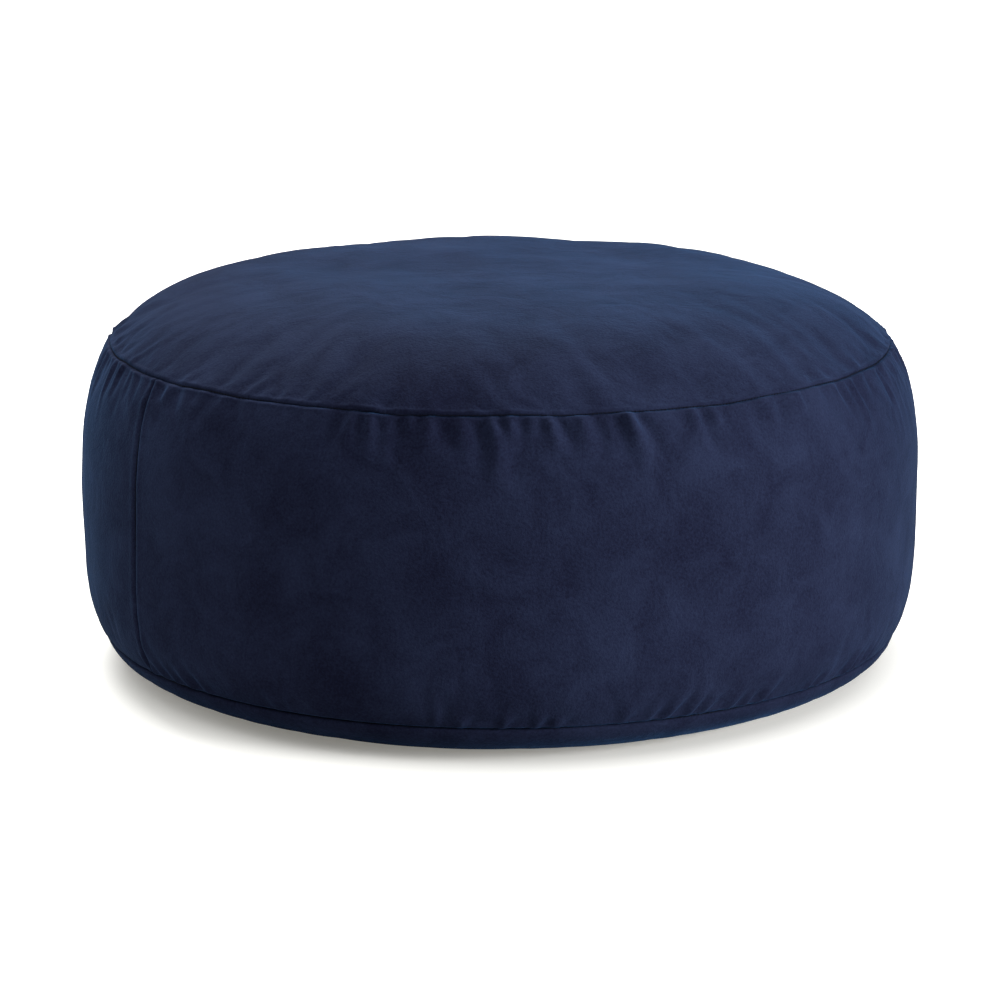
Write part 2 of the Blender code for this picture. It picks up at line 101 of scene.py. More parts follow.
def add_node(tree: NodeTree, kind: str, inputs: dict | None = None, **settings: object) -> Node:
    """Add a node with its settings, and feed its sockets.

    Args:
        tree: The material's or world's node tree.
        kind: The node's type.
        inputs: A value, or a socket to link, for each input by name or number.
        **settings: Properties of the node.

    Returns:
        The new node.
    """
    node = tree.nodes.new(kind)
    for name, value in settings.items():
        setattr(node, name, value)
    feed(tree, node, inputs or {})
    return node


def blank(name: str) -> tuple[Material, NodeTree, Node]:
    """Start a material with one shader wired to its output.

    Args:
        name: The material's name.

    Returns:
        The material, its node tree and its shader node.
    """
    material = bpy.data.materials.new(name)
    material.use_nodes = True
    tree = material.node_tree
    tree.nodes.clear()
    shader = add_node(tree, "ShaderNodeBsdfPrincipled")
    add_node(tree, "ShaderNodeOutputMaterial", {"Surface": shader.outputs[0]})
    return material, tree, shader


def to_object(shape: BMesh, name: str, finish: Material) -> Object:
    """Turn a finished bmesh into a smooth-shaded object that wears one finish.

    Args:
        shape: The bmesh, which is freed.
        name: The piece's name.
        finish: Its material.

    Returns:
        The object, linked to the scene.
    """
    mesh = bpy.data.meshes.new(name)
    for face in shape.faces:
        face.smooth = True
        face.material_index = 0
    shape.to_mesh(mesh)
    shape.free()
    mesh.materials.append(finish)
    piece = bpy.data.objects.new(name, mesh)
    bpy.context.scene.collection.objects.link(piece)
    return piece


def scattered(template: BMesh, matrices: list[Matrix], name: str, finish: Material) -> Object:
    """Copy a small shape to many places as one piece.

    Args:
        template: The shape, about its own middle, which is freed.
        matrices: Where each copy goes.
        name: The piece's name.
        finish: Its material.

    Returns:
        The piece.
    """
    single = bpy.data.meshes.new(name)
    template.to_mesh(single)
    template.free()
    corners = np.c_[positions(single.vertices), np.ones(len(single.vertices))]
    shape = bmesh.new()
    for _ in matrices:
        shape.from_mesh(single)
    bpy.data.meshes.remove(single)
    piece = to_object(shape, name, finish)
    places = [corners @ np.array(matrix)[:3].T for matrix in matrices]
    move_to(piece.data, np.concatenate(places))
    return piece


def grain(segments: int, rings: int) -> BMesh:
    """A ball of radius 1 with few faces, to be drawn out into a stitch or a loop."""
    shape = bmesh.new()
    bmesh.ops.create_uvsphere(shape, u_segments=segments, v_segments=rings, radius=1)
    return shape


def file_piece(piece: Object, body: str, node: str) -> Object:
    """Parent a piece to its body and hide the CAD node that it replaces.

    Args:
        piece: The finished piece.
        body: The CAD body that it rides on.
        node: The CAD node that it replaces.

    Returns:
        The same piece.
    """
    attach(piece, body)
    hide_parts(node)
    LOG.info("%s: %d faces, rides on %s", piece.name, len(piece.data.polygons), body)
    return piece


def positions(vertices: bpy.types.bpy_prop_collection) -> np.ndarray:
    """The coordinates of a mesh's vertices, one row each."""
    flat = np.empty(len(vertices) * 3, np.float32)
    vertices.foreach_get("co", flat)
    return flat.reshape(-1, 3).astype(float)


def normals_of(mesh: Mesh) -> np.ndarray:
    """The way out of a mesh at each of its vertices, one row each."""
    flat = np.empty(len(mesh.vertices) * 3, np.float32)
    mesh.vertex_normals.foreach_get("vector", flat)
    return flat.reshape(-1, 3).astype(float)


def move_to(mesh: Mesh, places: np.ndarray) -> None:
    """Put each vertex of a mesh at its row's place."""
    mesh.vertices.foreach_set("co", places.astype(np.float32).ravel())
    mesh.update()


def smooth_noise(places: np.ndarray, size: float, seed: float) -> np.ndarray:
    """Soft noise from -1 to 1 at each place.

    Args:
        places: Points, one row each, in metres.
        size: The size of its swells in metres.
        seed: Shifts the pattern.

    Returns:
        One value for each point.
    """
    shifted = places / size + seed
    return np.array([noise.noise(Vector(row)) for row in shifted])


def ridge_at(distance: np.ndarray, width: float) -> np.ndarray:
    """A smooth hump, 1 at no distance, that has nearly gone at twice its width."""
    return np.exp(-((distance / width) ** 2))


# Finishes


@dataclass(frozen=True)
class Suede:
    """Microfibre suede: a dense polyester nap, sanded soft.

    It is matt, with a pale bloom where it is seen edge on, and the nap lies in lighter and
    darker strokes.
    """

    name: str = "microfibre_suede"
    brushed_down: str = "#0f1122"
    brushed_up: str = "#1d2338"
    bloom: str = "#4a94dc"
    patch_mm: float = 150.0
    patch_share: float = 0.26
    stroke_mm: float = 46.0
    stroke_share: float = 0.36
    stroke_depth: float = 0.0022
    nap_mm: float = 2.2  # real nap is finer; drawn this coarse so that it shows
    nap_share: float = 0.36
    nap_depth: float = 0.0006
    tones: tuple[float, float] = (0.38, 0.62)  # the pattern's values at its two colours

    def material(self) -> Material:
        """Build the suede's nodes."""
        material, tree, shader = blank(self.name)
        here = add_node(tree, "ShaderNodeTexCoord").outputs["Object"]
        patch, stroke, nap = (
            add_node(tree, "ShaderNodeTexNoise", {"Vector": here, "Scale": per_metre(size)} | more)
            for size, more in (
                (self.patch_mm, {"Detail": 2.0}),
                (self.stroke_mm, {"Detail": 5.0, "Roughness": 0.6, "Distortion": 0.7}),
                (self.nap_mm, {"Detail": 2.0, "Roughness": 0.7}),
            )
        )
        mixed: float | NodeSocket = 0.0
        shares = ((patch, self.patch_share), (stroke, self.stroke_share), (nap, self.nap_share))
        for layer, share in shares:
            terms = {0: layer.outputs[0], 1: share, 2: mixed}
            mixed = add_node(tree, "ShaderNodeMath", terms, operation="MULTIPLY_ADD").outputs[0]
        ramp = add_node(tree, "ShaderNodeValToRGB", {"Fac": mixed})
        colours = (self.brushed_down, self.brushed_up)
        for stop, tone, colour in zip(ramp.color_ramp.elements, self.tones, colours):
            stop.position, stop.color = tone, linear(colour)
        lying = add_node(
            tree,
            "ShaderNodeBump",
            {"Strength": 0.8, "Distance": self.stroke_depth, "Height": stroke.outputs[0]},
        )
        fibres = add_node(
            tree,
            "ShaderNodeBump",
            {
                "Strength": 0.8,
                "Distance": self.nap_depth,
                "Height": nap.outputs[0],
                "Normal": lying.outputs[0],
            },
        )
        feed(
            tree,
            shader,
            {
                "Base Color": ramp.outputs["Color"],
                "Roughness": 0.92,
                "Specular IOR Level": 0.03,
                "Sheen Weight": 0.115,
                "Sheen Roughness": 0.38,
                "Sheen Tint": linear(self.bloom),
                "Normal": fibres.outputs[0],
            },
        )
        return material


@dataclass(frozen=True)
class Weave:
    """Plain-woven cloth or tape: two sets of threads over and under each other, matt.

    The pattern follows the piece's own UV map or its Object coordinates, and its colour darkens
    into the hollows between the threads as painted shade.
    """

    name: str
    # The colour of the painted shade in the hollows between the threads.
    shaded_valley: str
    crest: str
    thread_mm: float
    on_uv: bool = False
    roughness: float = 0.85
    slub_mm: float = 9.0

    def material(self) -> Material:
        """Build the weave's nodes."""
        material, tree, shader = blank(self.name)
        here = add_node(tree, "ShaderNodeTexCoord").outputs["UV" if self.on_uv else "Object"]
        # A wave texture repeats once in 2 pi / 20 of its own units.
        scale = per_metre(self.thread_mm) * math.pi / 10
        across, along = (
            add_node(
                tree,
                "ShaderNodeTexWave",
                {"Vector": here, "Scale": scale, "Distortion": 0.4, "Detail": 1.0},
                bands_direction=direction,
            )
            for direction in ("X", "Y")
        )
        crossed = add_node(
            tree,
            "ShaderNodeMath",
            {0: across.outputs[1], 1: along.outputs[1]},
            operation="MAXIMUM",
        )
        slub = add_node(
            tree,
            "ShaderNodeTexNoise",
            {"Vector": here, "Scale": per_metre(self.slub_mm), "Detail": 3.0},
        )
        varied = add_node(
            tree,
            "ShaderNodeMath",
            {0: crossed.outputs[0], 1: slub.outputs[0]},
            operation="MULTIPLY",
        )
        # Painted shade: the colour darkens from crest to valley as the weave's height falls, varied
        # by the slub.
        colour = add_node(
            tree,
            "ShaderNodeMix",
            {0: varied.outputs[0], 6: linear(self.shaded_valley), 7: linear(self.crest)},
            data_type="RGBA",
        )
        raised = add_node(
            tree,
            "ShaderNodeBump",
            {"Strength": 0.6, "Distance": 0.0002, "Height": crossed.outputs[0]},
        )
        feed(
            tree,
            shader,
            {
                "Base Color": colour.outputs[2],
                "Roughness": self.roughness,
                "Specular IOR Level": 0.3,
                "Sheen Weight": 0.15,
                "Normal": raised.outputs[0],
            },
        )
        return material


@dataclass(frozen=True)
class Filament:
    """Drawn polyester or nylon: bonded thread or monofilament, with fine streaks from drawing."""

    name: str
    colour: str
    streak: str
    roughness: float
    streak_mm: float = 0.8
    unevenness: float = 0.08  # how far the roughness goes up and down

    def material(self) -> Material:
        """Build the filament's nodes."""
        material, tree, shader = blank(self.name)
        here = add_node(tree, "ShaderNodeTexCoord").outputs["Object"]
        streaks = add_node(
            tree,
            "ShaderNodeTexNoise",
            {"Vector": here, "Scale": per_metre(self.streak_mm), "Detail": 2.0},
        )
        colour = add_node(
            tree,
            "ShaderNodeMix",
            {0: streaks.outputs[0], 6: linear(self.colour), 7: linear(self.streak)},
            data_type="RGBA",
        )
        smoothest, roughest = self.roughness - self.unevenness, self.roughness + self.unevenness
        rough = add_node(
            tree, "ShaderNodeMapRange", {0: streaks.outputs[0], 3: smoothest, 4: roughest}
        )
        feed(
            tree,
            shader,
            {
                "Base Color": colour.outputs[2],
                "Roughness": rough.outputs[0],
                "Specular IOR Level": 0.1,
            },
        )
        return material


@dataclass(frozen=True)
class CastMetal:
    """Die-cast zinc under a dark nickel plate: bright, slightly clouded by tumbling."""

    name: str = "black_nickel_zinc"
    plate: str = "#5d5f66"
    worn: str = "#8b8d92"
    mark_mm: float = 2.5

    def material(self) -> Material:
        """Build the metal's nodes."""
        material, tree, shader = blank(self.name)
        here = add_node(tree, "ShaderNodeTexCoord").outputs["Object"]
        marks = add_node(
            tree,
            "ShaderNodeTexNoise",
            {"Vector": here, "Scale": per_metre(self.mark_mm), "Detail": 6.0, "Roughness": 0.7},
        )
        colour = add_node(
            tree,
            "ShaderNodeMix",
            {0: marks.outputs[0], 6: linear(self.plate), 7: linear(self.worn)},
            data_type="RGBA",
        )
        rough = add_node(tree, "ShaderNodeMapRange", {0: marks.outputs[0], 3: 0.22, 4: 0.42})
        raised = add_node(
            tree,
            "ShaderNodeBump",
            {"Strength": 0.15, "Distance": 0.0001, "Height": marks.outputs[0]},
        )
        feed(
            tree,
            shader,
            {
                "Base Color": colour.outputs[2],
                "Metallic": 1.0,
                "Roughness": rough.outputs[0],
                "Normal": raised.outputs[0],
            },
        )
        return material


@dataclass(frozen=True)
class FoamBeads:
    """Expanded polystyrene beads packed together: white, waxy balls, with painted shade in the gaps
    between.
    """

    name: str = "expanded_polystyrene_beads"
    ball: str = "#f1f1ee"
    # The colour of the painted shade in the gaps between the beads.
    gap: str = "#8e8e8a"
    bead_mm: float = 4.0

    def material(self) -> Material:
        """Build the beads' nodes."""
        material, tree, shader = blank(self.name)
        here = add_node(tree, "ShaderNodeTexCoord").outputs["Object"]
        cells = add_node(
            tree, "ShaderNodeTexVoronoi", {"Vector": here, "Scale": per_metre(self.bead_mm)}
        )
        dome = add_node(
            tree,
            "ShaderNodeMapRange",
            {0: cells.outputs["Distance"], 1: 0.0, 2: 0.7, 3: 1.0, 4: 0.0},
        )
        # Painted shade: the colour darkens from each bead's middle to the gaps around it.
        colour = add_node(
            tree,
            "ShaderNodeMix",
            {0: dome.outputs[0], 6: linear(self.gap), 7: linear(self.ball)},
            data_type="RGBA",
        )
        raised = add_node(
            tree,
            "ShaderNodeBump",
            {"Strength": 0.9, "Distance": 0.002, "Height": dome.outputs[0]},
        )
        feed(
            tree,
            shader,
            {
                "Base Color": colour.outputs[2],
                "Roughness": 0.55,
                "Normal": raised.outputs[0],
            },
        )
        return material


class Finishes:
    """Every material of the cushion, made once and shared."""

    def __init__(self) -> None:
        """Make the materials."""
        self.suede = Suede().material()
        # Bonded polyester thread, matt and nearly black beside the suede.
        thread = Filament("bonded_polyester_thread", "#04060f", "#090d1b", 0.85)
        self.thread = thread.material()
        # Woven polyester zip tape, a close weave without shine.
        tape = Weave("woven_polyester_tape", "#0e1120", "#232a42", 0.9, on_uv=True)
        self.tape = tape.material()
        # Drawn nylon, as in a coil zip, smoother than the thread.
        self.coil = Filament("nylon_monofilament", "#12162a", "#1d2338", 0.32, 0.5).material()
        self.metal = CastMetal().material()
        # Heat-cut satin ribbon, pale grey and a little glossy.
        ribbon = Weave("satin_ribbon", "#8f8f8c", "#b9b9b4", 0.5, on_uv=True, roughness=0.5)
        self.label = ribbon.material()
        # Plain-woven polyester cotton lining, undyed.
        self.liner = Weave("polyester_cotton_lining", "#a5a49d", "#d2d0c8", 1.2).material()
        self.beads = FoamBeads().material()


# The cushion's form


@dataclass(frozen=True)
class Line:
    """A stretch of the cushion's outline, measured along itself from its upper end."""

    radius: np.ndarray
    height: np.ndarray

    @property
    def run(self) -> np.ndarray:
        """The length along the line at each of its points."""
        steps = np.hypot(np.diff(self.radius), np.diff(self.height))
        return np.concatenate(([0.0], np.cumsum(steps)))

    @property
    def length(self) -> float:
        """The line's whole length."""
        return float(self.run[-1])

    def at(
        self, along: np.ndarray | float, out: np.ndarray | float = 0.0
    ) -> tuple[np.ndarray, np.ndarray]:
        """Find points by their length along the line, stood off from it.

        Args:
            along: The length from the line's start, in metres.
            out: How far outwards from the cushion, in metres.

        Returns:
            Their radii and their heights.
        """
        run = self.run
        slope_r, slope_h = np.gradient(self.radius, run), np.gradient(self.height, run)
        size = np.hypot(slope_r, slope_h)
        out_r = np.interp(along, run, -slope_h / size)
        out_h = np.interp(along, run, slope_r / size)
        return (
            np.interp(along, run, self.radius) + out_r * out,
            np.interp(along, run, self.height) + out_h * out,
        )


@dataclass(frozen=True)
class CushionForm:
    """The stuffed cushion's outline: a domed crown, a bulging wall and a rolled-under base."""

    widest_radius: float = 0.400
    crown_rise: float = 0.061
    crown_power: float = 5.7
    wall_height: float = 0.273
    wall_power: float = 4.0
    base_rise: float = 0.036
    widest_above_base_seam: float = 0.1015
    top_seam_inset: float = 0.0284
    base_seam_inset: float = 0.0172
    base_roll: float = 0.083
    side_seam_bearing: float = -55.0  # the other is opposite

    @property
    def top_seam_radius(self) -> float:
        """The radius of the seam between top and wall."""
        return self.widest_radius - self.top_seam_inset

    @property
    def top_seam_height(self) -> float:
        """The height of that seam."""
        return self.base_rise + self.wall_height

    @property
    def base_seam_radius(self) -> float:
        """The radius of the seam between wall and base."""
        return self.widest_radius - self.base_seam_inset

    @property
    def crown(self) -> Line:
        """From the middle of the top out to the top seam."""
        share = np.linspace(0, 1, 600)
        rise = self.crown_rise * (1 - share**self.crown_power)
        return Line(self.top_seam_radius * share, self.top_seam_height + rise)

    @property
    def wall(self) -> Line:
        """From the top seam down to the base seam."""
        widest = self.base_rise + self.widest_above_base_seam
        above = self.wall_height - self.widest_above_base_seam
        up, down = np.linspace(1, 0, 400), np.linspace(0, 1, 240)[1:]
        upper_inset = self.top_seam_inset * up**self.wall_power
        lower_inset = self.base_seam_inset * down**self.wall_power
        return Line(
            self.widest_radius - np.concatenate((upper_inset, lower_inset)),
            np.concatenate((widest + above * up, widest - self.widest_above_base_seam * down)),
        )

    @property
    def base(self) -> Line:
        """From the base seam round the roll and in to the middle of the floor."""
        flat = self.base_seam_radius - self.base_roll
        turn = np.linspace(0, math.pi / 2, 200)
        inwards = np.linspace(1, 0, 300)[1:]
        return Line(
            np.concatenate((flat + self.base_roll * np.cos(turn), flat * inwards)),
            np.concatenate((self.base_rise * (1 - np.sin(turn)), 0 * inwards)),
        )

    def seam_sway(self, bearing: np.ndarray) -> np.ndarray:
        """How far a hand-fed seam wanders up or down at each bearing, in metres."""
        turn = np.radians(bearing)
        slow, middling = 0.0005 * np.sin(9 * turn + 0.6), 0.0004 * np.sin(17 * turn + 2.1)
        return slow + middling + 0.0003 * np.sin(31 * turn)


def round_axis(
    bearing: np.ndarray | float, radius: np.ndarray | float, height: np.ndarray | float
) -> np.ndarray:
    """Place points round the cushion's axis.

    Args:
        bearing: Degrees from the cushion's front towards its right.
        radius: Distance from the axis.
        height: Height above the floor.

    Returns:
        The points, one row each.
    """
    turn = np.radians(np.asarray(bearing) - 90)
    x, y, z = np.broadcast_arrays(radius * np.cos(turn), radius * np.sin(turn), height)
    return np.stack((x, y, z), axis=-1)


def bearings(places: np.ndarray) -> np.ndarray:
    """The bearing of each point, from -180 to 180 degrees."""
    return (np.degrees(np.arctan2(places[:, 1], places[:, 0])) + 270) % 360 - 180


# The cover


class Panel(Enum):
    """The cover's four cut pieces.

    The value is the number that their faces carry while the cover is one mesh.
    """

    TOP = 0
    FRONT = 1
    REAR = 2
    BASE = 3


# How far one gather differs from its run: the limits of its place in its share of the run, of
# its length, depth and width as shares of the run's, and of what its lean adds.
GATHER_VARIATION = ((0.25, 0.75), (0.55, 1.35), (0.5, 1.2), (0.75, 1.3), (-0.12, 0.12))


@dataclass(frozen=True)
class Gathers:
    """A run of gathers that a seam draws up in one panel."""

    start: float
    end: float
    count: int
    length: float
    depth: float
    width: float
    lean: float = 0.0
    held: float = 0.006  # the stitches hold the cloth flat this far from the seam

    def heights(
        self,
        bearing: np.ndarray,
        away: np.ndarray,
        radius: float,
        random: np.random.Generator,
    ) -> np.ndarray:
        """How far the run's gathers lift or sink the cloth.

        Args:
            bearing: Each point's bearing in degrees.
            away: Its distance from the seam along the cloth, in metres.
            radius: The seam's radius.
            random: Varies the gathers.

        Returns:
            A height for each point.
        """
        height = np.zeros_like(away)
        for index in range(self.count):
            drawn = (random.uniform(*limits) for limits in GATHER_VARIATION)
            place, longer, deeper, wider, lean_more = drawn
            at = self.start + (self.end - self.start) * (index + place) / self.count
            length, width = self.length * longer, self.width * wider
            lean = self.lean + lean_more
            aside = np.radians((bearing - at + 180) % 360 - 180) * radius
            near = (away < length) & (np.abs(aside) < 4 * width + abs(lean) * length)
            share = away[near] / length
            offset = (aside[near] - lean * away[near]) / (width * (0.75 + 0.7 * share))
            # A fold stands between two hollows, the deeper one to its right.
            fold = ridge_at(offset, 1) - 0.6 * ridge_at(offset - 1.5, 1)
            fold -= 0.35 * ridge_at(offset + 1.5, 1)
            free = 1 - 0.85 * ridge_at(away[near], self.held)
            height[near] += self.depth * deeper * fold * (1 - share) ** 1.3 * free
        return height


# Gathers beside the top seam, for the crown and then for the wall. Each run gives its first and
# last bearing in degrees, its count, and its gathers' length, depth and width in metres.
TOP_SEAM_GATHERS = (
    (
        Gathers(-180, 180, 80, 0.024, 0.0005, 0.006),
        Gathers(-100, -64, 6, 0.080, 0.0017, 0.006, 0.5),
        Gathers(-62, -24, 5, 0.042, 0.0016, 0.007, 0.5),
        Gathers(-46, 12, 7, 0.026, -0.0022, 0.008, 0.1),
        Gathers(50, 85, 5, 0.050, 0.0009, 0.006, -0.4),
        Gathers(110, 150, 5, 0.060, 0.0013, 0.006, -0.3),
        Gathers(190, 235, 6, 0.055, 0.0013, 0.006, 0.3),
    ),
    (
        Gathers(-180, 180, 90, 0.026, 0.0009, 0.0055),
        Gathers(-22, -7, 4, 0.046, 0.0050, 0.0066, 0.0),
        Gathers(-7, 3.5, 3, 0.060, 0.0088, 0.0070, 0.03),
        Gathers(4.5, 18, 3, 0.062, 0.0078, 0.0074, 0.16),
        Gathers(20, 31, 3, 0.046, 0.0034, 0.0066, 0.22),
        Gathers(-82, -62, 6, 0.052, 0.0026, 0.0045, -0.1),
        Gathers(-53, -47, 1, 0.040, 0.0036, 0.007, -0.4),
        Gathers(-44, -38, 1, 0.036, 0.0018, 0.007, -0.3),
        Gathers(24, 46, 4, 0.040, 0.0013, 0.0065, 0.2),
        Gathers(50, 58, 3, 0.055, 0.0020, 0.0055, 0.25),
        Gathers(66, 84, 6, 0.078, 0.0020, 0.0042, 0.3),
        Gathers(100, 118, 5, 0.045, 0.0022, 0.0055, -0.1),
        Gathers(150, 175, 6, 0.048, 0.0028, 0.0065, 0.15),
        Gathers(205, 222, 4, 0.040, 0.0024, 0.0060, -0.15),
        Gathers(236, 256, 5, 0.044, 0.0022, 0.0060, 0.1),
    ),
)
# Gathers beside the base seam, for the base and then for the wall.
BASE_SEAM_GATHERS = (
    (Gathers(-180, 180, 90, 0.020, 0.0002, 0.006),),
    (
        Gathers(-180, 180, 90, 0.018, 0.0006, 0.0055),
        Gathers(-11, 10, 5, 0.036, 0.0042, 0.0055, 0.25),
        Gathers(14, 38, 8, 0.038, 0.0038, 0.0055, 0.45),
        Gathers(44, 62, 7, 0.040, 0.0030, 0.0050, 0.6),
        Gathers(-56, -40, 5, 0.044, 0.0030, 0.0055, -0.6),
        Gathers(-34, -22, 2, 0.034, 0.0024, 0.0060, -0.3),
        Gathers(100, 135, 7, 0.032, 0.0020, 0.0050, 0.4),
        Gathers(262, 290, 6, 0.032, 0.0020, 0.0050, -0.4),
    ),
)


@dataclass
class Cover:
    """The suede cover: top, front wall, rear wall and base, sewn together edge to edge."""

    form: CushionForm
    suede: Material
    zip_start: float = 141.2  # bearings between which the zip parts the base seam
    zip_end: float = 258.8
    cells: int = 128  # across each disc; four times as many go round
    wall_rows: int = 48
    frames: int = 20
    pressure: float = 4.0
    fullness: float = 0.03  # how much larger the cloth is cut than the form
    start_inside: float = 0.003
    start_uneven: float = 0.0003
    most_moved: float = 0.025  # in the simulation
    most_ripple: float = 0.004
    seam_half_gap: float = 0.0003
    seam_dip: float = 0.0018
    seam_width: float = 0.0012
    base_groove: float = 0.5  # how deep the base seam's groove is, beside the top seam's
    zip_half_gap: float = 0.0040
    fade: float = 0.02  # how far from a seam the cloth that parts there has closed up
    turning: float = 0.008
    swell: float = 0.0022
    dimple: float = 0.0008

    def build(self) -> None:
        """Sew the cover, blow it up, and cut it into its four panels."""
        sewn = self.sewn_mesh()
        relief = self.inflate(sewn)
        fine = self.refine(sewn, relief)
        nodes = {
            Panel.TOP: "top_panel",
            Panel.FRONT: "side_panel_front",
            Panel.REAR: "side_panel_rear",
            Panel.BASE: "base_panel",
        }
        for panel, node in nodes.items():
            piece = self.cut_out(fine, panel, f"suede_{node}")
            file_piece(piece, CUSHION, node)

    def line(self, panel: Panel) -> Line:
        """The outline that a panel follows."""
        ends = {Panel.TOP: self.form.crown, Panel.BASE: self.form.base}
        return ends.get(panel, self.form.wall)

    def sewn_mesh(self) -> Mesh:
        """Make the closed cover as one mesh: two discs and a wall, welded on their seams.

        Returns:
            The mesh, whose faces carry their panel's number.
        """
        shape = bmesh.new()
        for panel in (Panel.TOP, Panel.BASE):
            before = set(shape.verts)
            bmesh.ops.create_grid(shape, x_segments=self.cells, y_segments=self.cells, size=1)
            self.shape_disc([v for v in shape.verts if v not in before], panel)
        before = set(shape.verts)
        bmesh.ops.create_grid(
            shape, x_segments=4 * self.cells, y_segments=self.wall_rows, size=1
        )
        self.shape_wall([v for v in shape.verts if v not in before])
        bmesh.ops.remove_doubles(shape, verts=shape.verts, dist=1e-5)
        bmesh.ops.recalc_face_normals(shape, faces=shape.faces)
        for face in shape.faces:
            face.material_index = self.panel_of(face).value
        mesh = bpy.data.meshes.new("sewn_cover")
        for _ in Panel:
            mesh.materials.append(self.suede)
        shape.to_mesh(mesh)
        shape.free()
        return mesh

    def shape_disc(self, vertices: list[BMVert], panel: Panel) -> None:
        """Pull a square grid into a disc, finest at its rim, and lay it on its outline."""
        line = self.line(panel)
        for vertex in vertices:
            across, along = vertex.co.x, vertex.co.y
            rim = max(abs(across), abs(along))
            if abs(across) >= abs(along):
                turn = math.pi / 4 * (along / across) if rim else 0.0
                turn += 0 if across >= 0 else math.pi
            else:
                turn = math.pi / 2 - math.pi / 4 * (across / along)
                turn += 0 if along >= 0 else math.pi
            vertex.co = (rim, math.degrees(turn) + self.form.side_seam_bearing, 0)
        rims = np.array([v.co.x for v in vertices])
        graded = 1.325 * rims - 0.325 * rims**3
        run = line.length * (graded if panel is Panel.TOP else 1 - graded)
        places = round_axis(np.array([v.co.y for v in vertices]), *line.at(run))
        for vertex, place in zip(vertices, places):
            vertex.co = place

    def shape_wall(self, vertices: list[BMVert]) -> None:
        """Roll a grid into the wall, with finer rows at both seams."""
        across = np.array([v.co.x for v in vertices])
        down = (1 - np.array([v.co.y for v in vertices])) / 2
        graded = down - 0.7 * np.sin(2 * math.pi * down) / (2 * math.pi)
        run = self.form.wall.length * graded
        bearing = across * 180 + self.form.side_seam_bearing
        places = round_axis(bearing, *self.form.wall.at(run))
        for vertex, place in zip(vertices, places):
            vertex.co = place

    def panel_of(self, face: BMFace) -> Panel:
        """The panel that a face of the closed cover belongs to."""
        heights = [v.co.z for v in face.verts]
        if min(heights) > self.form.top_seam_height - 1e-6:
            return Panel.TOP
        if max(heights) < self.form.base_rise + 1e-6:
            return Panel.BASE
        middle = face.calc_center_median()
        bearing = math.degrees(math.atan2(middle.y, middle.x)) + 90
        in_front = (bearing - self.form.side_seam_bearing) % 360 < 180
        return Panel.FRONT if in_front else Panel.REAR

    def held_still(self, rest: np.ndarray) -> np.ndarray:
        """Which points of the closed cover a ring seam or the floor holds."""
        form, close = self.form, 1e-4
        radius, height = np.hypot(rest[:, 0], rest[:, 1]), rest[:, 2]
        held = height < close
        for seam_radius, seam_height in (
            (form.top_seam_radius, form.top_seam_height),
            (form.base_seam_radius, form.base_rise),
        ):
            level = np.abs(height - seam_height) < close
            held |= level & (np.abs(radius - seam_radius) < close)
        return held

    def inflate(self, sewn: Mesh) -> np.ndarray:
        """Blow the closed cover up from a slightly smaller shape with its seams held.

        The cloth is cut a little full, so it buckles beside them.

        Args:
            sewn: The closed cover at its finished size.

        Returns:
            How far each vertex ends above or below the cover's mean surface.
        """
        rest = positions(sewn.vertices)
        mesh = sewn.copy()
        bag = bpy.data.objects.new("cover_in_simulation", mesh)
        scene = bpy.context.scene
        scene.collection.objects.link(bag)
        still = self.held_still(rest)
        held = bag.vertex_groups.new(name="held")
        held.add(np.flatnonzero(still).tolist(), 1.0, "REPLACE")
        normals = normals_of(mesh)
        start = rest - normals * np.where(still, 0, self.start_inside)[:, None]
        start += normals * self.start_uneven * smooth_noise(rest, 0.02, 5.3)[:, None]
        move_to(mesh, start)
        cloth = bag.modifiers.new("cloth", "CLOTH")
        settings = cloth.settings
        settings.quality = 5
        settings.mass = 0.12
        settings.tension_stiffness = settings.compression_stiffness = 25
        settings.shear_stiffness = 8
        settings.bending_stiffness = 0.3
        settings.use_pressure = True
        settings.uniform_pressure_force = self.pressure
        settings.effector_weights.gravity = 0
        settings.vertex_group_mass = "held"
        settings.shrink_min = -self.fullness
        cloth.collision_settings.use_collision = False
        cloth.collision_settings.use_self_collision = False
        for clock in (scene, cloth.point_cache):
            clock.frame_start, clock.frame_end = 1, self.frames
        for step in range(1, self.frames + 1):
            scene.frame_set(step)
        graph = bpy.context.evaluated_depsgraph_get()
        moved = positions(bag.evaluated_get(graph).data.vertices) - rest
        distance = np.linalg.norm(moved, axis=1)
        LOG.info("simulated cover moved by up to %.1f mm", 1000 * distance.max())
        moved *= np.minimum(1, self.most_moved / np.maximum(distance, 1e-9))[:, None]
        scene.frame_set(1)
        bpy.data.objects.remove(bag)
        bpy.data.meshes.remove(mesh)
        return self.without_mean((moved * normals).sum(1), rest)

    def without_mean(self, height: np.ndarray, rest: np.ndarray) -> np.ndarray:
        """Take away each ring's mean height, so that only the ripples are left.

        Args:
            height: How far each point moved out.
            rest: Where it was before.

        Returns:
            Its ripple, which fades across the crown, where the beads press the cloth smooth.
        """
        radius, level = np.hypot(rest[:, 0], rest[:, 1]), rest[:, 2]
        ring = np.round(radius, 5) * 1000 + np.round(level, 5)
        _, which = np.unique(ring, return_inverse=True)
        mean = np.bincount(which, height) / np.bincount(which)
        left = height - mean[which]
        LOG.info("ripples left: %.2f mm rms", 1000 * left.std())
        faded = 0.18 + 0.37 * np.exp((radius - self.form.top_seam_radius) / 0.05)
        kept = np.where(level > self.form.top_seam_height, faded, 1.0)
        return np.clip(left * kept, -self.most_ripple, self.most_ripple)

